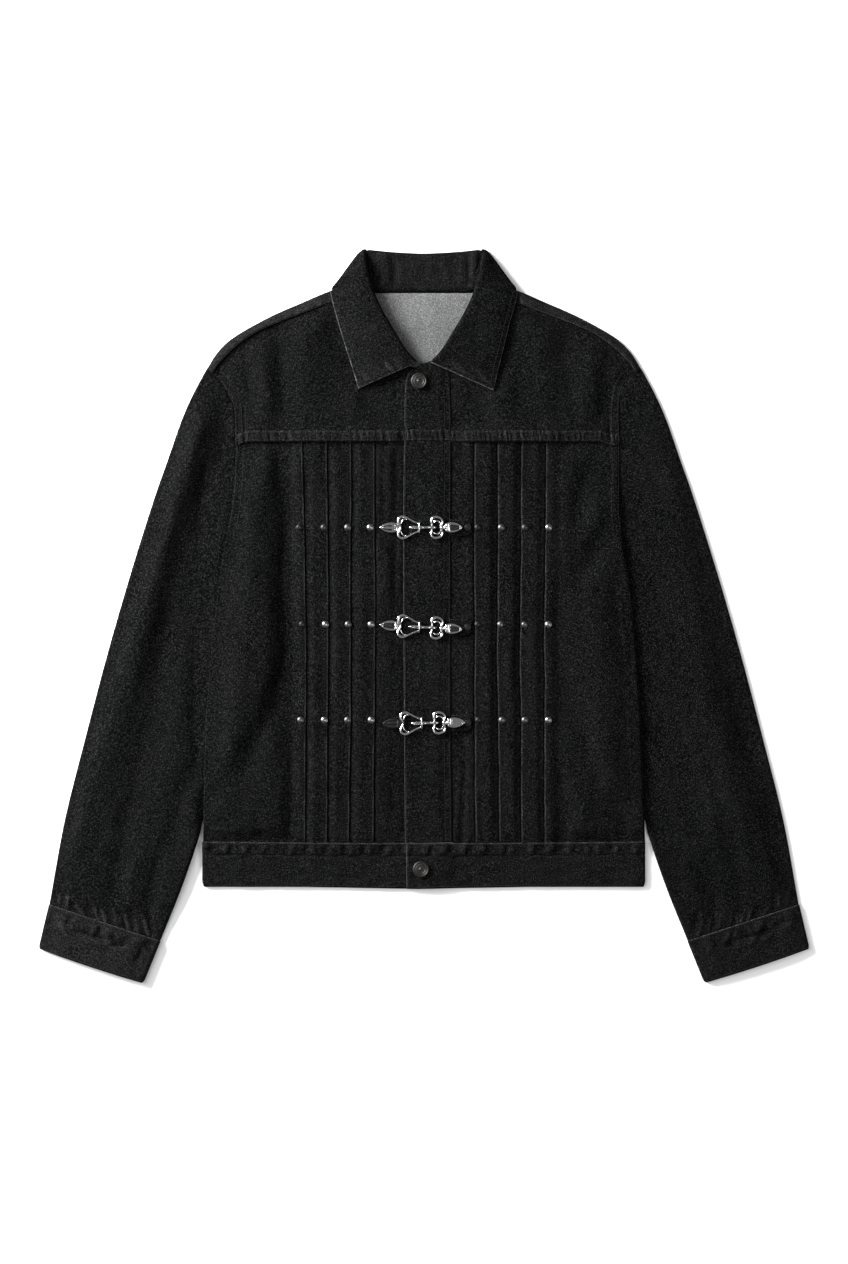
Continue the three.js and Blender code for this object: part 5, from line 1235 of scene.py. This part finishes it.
onleaf = smooth((iu - 4.3) / 0.8)
front_leaf = 1 - smooth((np.minimum(jv, nsec - 1 - jv) - 4.5) / 1.0)
back_in = smooth((np.minimum(jv, nsec - 1 - jv) - 10.5) / 1.5)
z = z + onleaf * front_leaf * (1.5 * np.sin(np.pi * np.clip((iu - 4) / 5, 0, 1)) + 0.30 * waves(x, y, 40, 171))
# puckers next to the topstitching of the leaf's front end
de = np.linalg.norm(a - a[:, -1:], axis=2)
ds = np.minimum(np.linalg.norm(a - a[:1], axis=2), np.linalg.norm(a - a[-1:], axis=2))
pk = ripple(x + y, 9, 173)
pend = np.exp(-((ds - 8) / 6) ** 2)
z = z + onleaf * front_leaf * (1.2 * pk * pend + 0.3 * ripple(y, 8, 174) * np.exp(-((de - 5) / 4) ** 2) - 0.18 * np.exp(-((de - 6.0) / 0.8) ** 2) - 0.18 * np.exp(-((ds - 6.0) / 0.8) ** 2))
inside_c = 1 - smooth((iu - 1.8) / 0.5)
z = z + inside_c * (1.1 * ripple(x + 0.05 * y, 15, 175) + 0.6 * ripple(x, 34, 179)) * back_in * smooth((iu - 0.1) / 0.5)
g = np.dstack([x, y, z])
w = 0.95 * np.clip(1.5 - de / 0.8, 0, 1) * (0.68 + 0.3 * ripple(y, 9, 176))
w = np.maximum(w, 0.95 * np.clip(1.5 - ds / 0.8, 0, 1) * (iu > 3.6) * (0.75 + 0.35 * ripple(x, 6, 177)))
tipd = np.minimum(np.linalg.norm(a - a[:1, -1:], axis=2), np.linalg.norm(a - a[-1:, -1:], axis=2))
w = np.maximum(w, 0.9 * np.clip(1 - tipd / 3.6, 0, 1))
w = np.maximum(w, 0.14 * pend * np.clip(pk, 0, 1) * onleaf)
# painted light: the left leaf's front is made a little paler for the lit left side
w = w + onleaf * front_leaf * (0.022 * (x < 0) + 0.0)
w = np.maximum(w, 0.10 * np.clip(1 - np.abs(iu - 3.2) / 0.35, 0, 1) * (y < 372))
w = np.where(iu > 2.6, w, 0.03 * back_in)
w = np.maximum(w, 0.55 * np.clip(1 - np.abs(iu - 0.14) / 0.12, 0, 1) * (0.5 + 0.6 * ripple(x, 2.6, 178)) * smooth((60 - np.abs(x)) / 10) * (y > 335))
n = normals(g)
sg = 1.0 if np.mean(n[20:60, -20:, 2]) > 0 else -1.0
hi = shell(p, g, BAND, wear=np.clip(w, 0, 1), mats=(0, 0), sign=sg, edge=(1.1, 1.1, 0.6, 1.1))
cloth("collar_cloth", p, [M_COLLAR], ["collar"])
j1 = int(np.searchsorted(tj, 5.0)); j2 = int(np.searchsorted(tj, nsec - 6.0))
for seg in (hi[:j1], hi[j2:]):
    stitches(thread("collar"), along_edge(seg, "col1", 6.0, 0.0, 1.0), 3.0)
i4 = int(np.searchsorted(ti_, 4.3))
stitches(thread("collar"), along_edge(hi[:j1, i4:], "row0", 6.0, 0.0, 0.96), 3.0)
stitches(thread("collar"), along_edge(hi[j2:, i4:], "row1", 6.0, 0.0, 0.96), 3.0)

for key, part in THREADS.items():
    o = build(f"stitches_{key}", part, [M_THREAD])

# ------------------------------------------------------------------ buttons, rivets, snaps
def button(name, nodes, x, y, z):
    p = Part()
    D, H = 17.0, 4.0
    prof = [[0.02, 0.15], [4.0, 0.0], [5.2, 0.3], [5.4, 1.1], [7.6, 1.2], [8.2, 1.5], [8.5, 2.1], [8.45, 2.7], [8.1, 3.25], [7.5, 3.55],
            [7.0, 3.6], [6.7, 3.45], [6.5, 3.2], [6.2, 3.15], [5.4, 3.35], [4.9, 3.7], [4.6, 3.6], [4.35, 3.3], [3.6, 3.3], [1.5, 3.35], [1.3, 3.7], [0.8, 3.95], [0.02, 4.0]]
    lathe(p, prof, x, y, z, 64)
    # a plain ring of small beads between the two rims
    for k in range(28):
        a = 2 * math.pi * k / 28
        bx, by = x + 5.75 * math.cos(a), y + 5.75 * math.sin(a)
        lathe(p, [[0.34, 0.0], [0.30, 0.18], [0.18, 0.30], [0.02, 0.34]], bx, by, z + 3.15, 8)
    # short spokes round a small boss, as the face's plain relief
    for k in range(12):
        a = 2 * math.pi * (k + 0.3) / 12
        for rr_, br in ((2.2, 0.36), (3.0, 0.44), (3.75, 0.34)):
            lathe(p, [[br, 0.0], [br * 0.85, 0.22], [br * 0.45, 0.38], [0.02, 0.42]], x + rr_ * math.cos(a), y + rr_ * math.sin(a), z + 3.25, 8)
    o = build(name, p, [M_GUN])
    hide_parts(*nodes)


button("button_top_metal", ["button_top"], -5.2, 247.3, PLACKET_TOP_Z + 0.3)
button("button_bottom_metal", ["button_bottom"], -3.2, -265.1, 3 * BAND + 2 * LAYER_GAP + 0.3)

RIVET_LIGHT_AND_SHADE = [["dmMB", "dMmB"], ["dBMB", "dMMB"], ["MBMB", "dMMB"]]   # painted light, each rivet gets a lit or shaded copy of one nickel: d darkest shade, m shade, M half shade, B lit
tone_mats = {"d": M_DARK_METAL_AND_SHADE, "m": M_NICKEL_SHADE, "M": M_NICKEL_HALF_SHADE, "B": M_NICKEL_LIT}
tone_parts = {k: (Part(), []) for k in tone_mats}
rz = FRONT_LIFT + CLOTH + 2 * PLEAT_PITCH + 0.15
for r, (y, lx, rx) in enumerate(RIVETS):
    for q, (side, xs) in enumerate((("left", lx), ("right", rx))):
        for i, x in enumerate(xs):
            part, names = tone_parts[RIVET_LIGHT_AND_SHADE[r][q][i]]
            names.append(f"rivet_{side}_{r + 1}_{i + 1}")
            up_z = 1.5 if side == "right" and i == 3 else 0.0        # lies on the fuller side of the front
            lathe(part, [[0.02, -0.2 - up_z], [3.2, -0.2 - up_z], [3.5, 0.0], [3.55, 0.2], [3.3, 0.42], [2.95, 0.5], [2.75, 0.62], [2.6, 0.85], [2.2, 1.15], [1.5, 1.42],
                         [0.9, 1.5], [0.75, 1.36], [0.35, 1.3], [0.02, 1.32]], x, y, rz + up_z, 32)
for k, (part, names) in tone_parts.items():
    o = build("rivets_" + {"d": "dark", "m": "shaded_copy", "M": "mid", "B": "bright"}[k], part, [tone_mats[k]])
    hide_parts(*names)

# ------------------------------------------------------------------ straps, snaps and clasps
bz = PLACKET_TOP_Z + 0.3
for k, (cx, cy, tilt) in enumerate(CLASPS, 1):
    for side in ("left", "right"):
        p = Part()
        x0, x1, h = (-50.8, -22.4, 5.8) if side == "left" else (cx + 31.7, 50.2, 8.2)
        U, V = dense(24, 1, 1, x1 - x0), dense(16, 1, 1, 2 * h)
        u, v = np.meshgrid(U, V)
        rnd = np.where(u > 0.7, 1 - np.sqrt(np.maximum(0, 1 - ((u - 0.7) / 0.3) ** 2)), 0) if side == "right" else 0 * u
        hh = h * (1 - 0.75 * rnd)
        X = x0 + (x1 - x0) * u
        Y = cy + (v * 2 - 1) * hh + (0.4 if side == "left" else -0.4) * np.sin(u * 3)
        zz = (FRONT_LIFT + CLOTH + 1.0 if side == "left" else bz + 0.6)
        Z = zz + 0.25 * np.sin(math.pi * v) + 0.12 * waves(X, Y, 9, 190 + k)
        if side == "left":
            Z = Z + 1.2 * smooth((X + 30) / 6)
            Z = np.minimum(Z, bz - 1.0)
        g = np.dstack([X, Y, Z])
        d_e = np.minimum(np.minimum(v, 1 - v) * 2 * h, 99)
        w = 0.25 * np.clip(1 - d_e / 0.8, 0, 1)
        hi = shell(p, g, 1.3, wear=w, mats=(0, 0), edge=(0.9, 0.9, 0.6, 0.9))
        cloth(f"strap_{side}_{k}_cloth", p, [M_DENIM], [f"strap_{side}_{k}"])
    p = Part()
    lathe(p, [[0.02, 0.0], [3.3, 0.0], [3.5, 0.25], [3.3, 0.6], [2.7, 0.75], [2.4, 0.62], [1.6, 0.75], [0.9, 0.95], [0.02, 1.0]], 46.0, cy, bz + 1.3, 32)
    o = build(f"snap_{k}_metal", p, [M_DARK_METAL_AND_SHADE]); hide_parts(f"snap_{k}")

    def put_clasp(part, name, node_name):
        a = math.radians(tilt)
        ca, sa = math.cos(a), math.sin(a)
        for q in range(len(part.v)):
            v_ = part.v[q]
            part.v[q] = np.stack([cx + v_[:, 0] * ca - v_[:, 1] * sa, cy + v_[:, 0] * sa + v_[:, 1] * ca, bz + v_[:, 2]], -1)
        o = build(name, part, [M_CHROME, M_CHROME_PAINTED_SHADE, M_DARK_METAL_AND_SHADE])
        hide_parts(node_name)

    def leaf(part, x_tip, x_base, half, z0, thick, ribs=3, tone=1):
        n, m = 46, 48
        t = np.linspace(0.0, 1, n)
        X = x_tip + (x_base - x_tip) * t
        hw = half * np.sin(np.pi * (0.02 + (0.88 if x_base > x_tip else 0.76) * t)) ** 0.75
        hw[0] = 0.05
        a = np.linspace(0, 2 * math.pi, m, endpoint=False)
        ca, sa = np.cos(a), np.sin(a)
        tk = thick * (0.35 + 0.65 * np.sin(np.pi * np.clip(0.08 + 0.84 * t, 0, 1)))
        Y = hw[:, None] * (np.sign(ca) * np.abs(ca) ** 0.9)[None]
        Z = z0 + tk[:, None] * (np.where(sa > 0, 1.0, 0.45) * np.sign(sa) * np.abs(sa) ** 0.75)[None] * 0.75
        face = smooth((t - 0.10) / 0.1) * (1 - smooth((t - 0.70) / 0.06))
        inner = smooth((0.74 - np.abs(ca)) / 0.12) * (sa > 0)
        Z = Z - (0.55 if tone else 0.1) * face[:, None] * inner[None]
        Z = Z + (0.26 if tone else 0.42) * face[:, None] * inner[None] * np.cos(ca[None] * math.pi * ribs)
        bandp = np.exp(-((t - 0.80) * abs(x_base - x_tip) / 0.6) ** 2) + np.exp(-((t - 0.93) * abs(x_base - x_tip) / 0.6) ** 2)
        Z = Z + (sa[None] > 0) * 0.16 * bandp[:, None]
        v_ = np.dstack([np.repeat(X[:, None], m, 1), Y, Z])
        f = grid_faces(n, m, True)
        jj, ii = np.divmod(np.arange(len(f)), m)
        # painted shade and reflection: the recessed face, the stripes on the first hook's leaf and the whole third
        # hook's leaf take darker metal, so each clasp is a lit or shaded copy of the same chrome
        dark = (face[jj] > 0.5) & (sa[ii] > 0) & (np.abs(ca[ii]) < 0.60)
        if x_base < x_tip:
            f = f[:, ::-1]
        lines = (face[jj] > 0.5) & (sa[ii] > 0) & (np.abs(ca[ii]) > 0.16) & (np.abs(ca[ii]) < 0.5) & (t[jj] < 0.56)
        dark = dark.astype(int) if tone == 1 else lines.astype(int) if tone == 0 and x_base > x_tip else np.full(len(f), 2 if tone == 2 else 0)
        part.add(v_.reshape(-1, 3), f[:, ::-1], dark)
        off = part.n - n * m
        c1, c2 = [off + i for i in range(m)], [off + (n - 1) * m + i for i in range(m)]
        if x_base < x_tip:
            c1, c2 = c2, c1
        part.f.append((np.array([c1]), np.array([0])))
        part.f.append((np.array([c2[::-1]]), np.array([0])))

    hook = Part()
    leaf(hook, -41.0, -19.6, 5.4, 1.7, 2.1, tone=k - 1)
    for m_ in (1, -1):
        sweep(hook, [[-19.2, 0.6 * m_, 1.9], [-20.6, 3.0 * m_, 2.0], [-22.0, 6.2 * m_, 2.0], [-21.4, 9.4 * m_, 2.0], [-18.6, 11.3 * m_, 2.1], [-15.4, 11.2 * m_, 2.2],
                     [-11.0, 9.0 * m_, 2.2], [-5.6, 6.2 * m_, 2.2], [-0.6, 4.2 * m_, 2.2]], [1.1, 1.2, 1.3, 1.4, 1.4, 1.3, 1.15, 1.0, 1.0], 16, smooth_n=64)
        # inner line of the lobe
        sweep(hook, [[-19.0, 3.6 * m_, 1.6], [-18.2, 6.0 * m_, 1.7], [-16.4, 8.2 * m_, 1.9], [-13.5, 8.8 * m_, 2.0]], [0.6, 0.8, 0.8, 0.5], 12, smooth_n=24)
    ring_pts = [[0.2, 5.9 * math.cos(a), 2.6 + 2.3 * math.sin(a)] for a in np.linspace(0, 2 * math.pi, 28, endpoint=False)]
    rp_ = np.array(ring_pts)
    tan = np.roll(rp_, -1, 0) - np.roll(rp_, 1, 0)
    tan /= np.linalg.norm(tan, axis=1, keepdims=True)
    ex_ = np.array([1.0, 0, 0])
    nn = np.cross(tan, ex_)
    aa = np.linspace(0, 2 * math.pi, 12, endpoint=False)
    vv = rp_[:, None] + 0.8 * (ex_ * np.cos(aa)[None, :, None] + nn[:, None] * np.sin(aa)[None, :, None])
    ff = np.concatenate([grid_faces(28, 12, True), np.stack([27 * 12 + np.arange(12), 27 * 12 + (np.arange(12) + 1) % 12, (np.arange(12) + 1) % 12, np.arange(12)], -1)])
    hook.add(vv.reshape(-1, 3), ff)
    sweep(hook, [[-10.8, 0, 2.6], [-10.2, 0, 2.6], [-8.5, 0, 2.7], [-5, 0, 2.8], [-1.5, 0, 2.9], [1.2, 0, 2.9], [3.4, 0, 2.9], [5.0, 0, 2.9], [9, 0, 3.1], [12.4, 0, 3.5], [15.0, 0, 3.9], [16.8, 0, 3.4], [17.0, 0, 2.4]],
          [0.35, 0.8, 1.35, 1.75, 1.85, 1.9, 2.0, 1.55, 1.55, 1.75, 1.6, 1.3, 0.8], 16, smooth_n=70)
    put_clasp(hook, f"clasp_hook_{k}_metal", f"clasp_hook_{k}")

    ring = Part()
    rpts = []
    half_path = [[13.4, 3.4, 1.9, 1.1], [12.6, 6.4, 1.9, 1.35], [14.2, 10.0, 2.0, 1.55], [18.4, 11.0, 2.1, 1.55], [22.8, 9.2, 2.1, 1.45], [24.6, 5.8, 2.1, 1.3], [23.4, 2.6, 2.1, 1.3]]
    full_path = half_path + [[x_, -y_, z_, r_] for x_, y_, z_, r_ in half_path[::-1]]
    fp = np.array(full_path)
    sweep(ring, fp[:, :3], fp[:, 3], 16, closed=True, smooth_n=110)
    for m_ in (1, -1):      # raised inner curl of each lobe
        sweep(ring, [[15.2, 5.4 * m_, 2.9], [17.6, 6.7 * m_, 3.3], [20.6, 6.2 * m_, 3.2], [22.2, 4.4 * m_, 2.9]], [0.6, 0.95, 0.95, 0.6], 12, smooth_n=26)
    lathe_pts = [[21.8, 2.3], [23.4, 3.3], [25.0, 3.6], [26.2, 2.7], [27.2, 3.4], [28.6, 3.6], [29.8, 2.8], [31.0, 2.4]]
    sweep(ring, [[a_, 0, 2.9] for a_, _ in lathe_pts], [r_ * 0.74 for _, r_ in lathe_pts], 18, smooth_n=40, flat=0.72)
    leaf(ring, 45.4, 27.6, 5.4, 3.6, 1.7, ribs=4, tone=0 if k == 3 else 1)
    put_clasp(ring, f"clasp_ring_{k}_metal", f"clasp_ring_{k}")
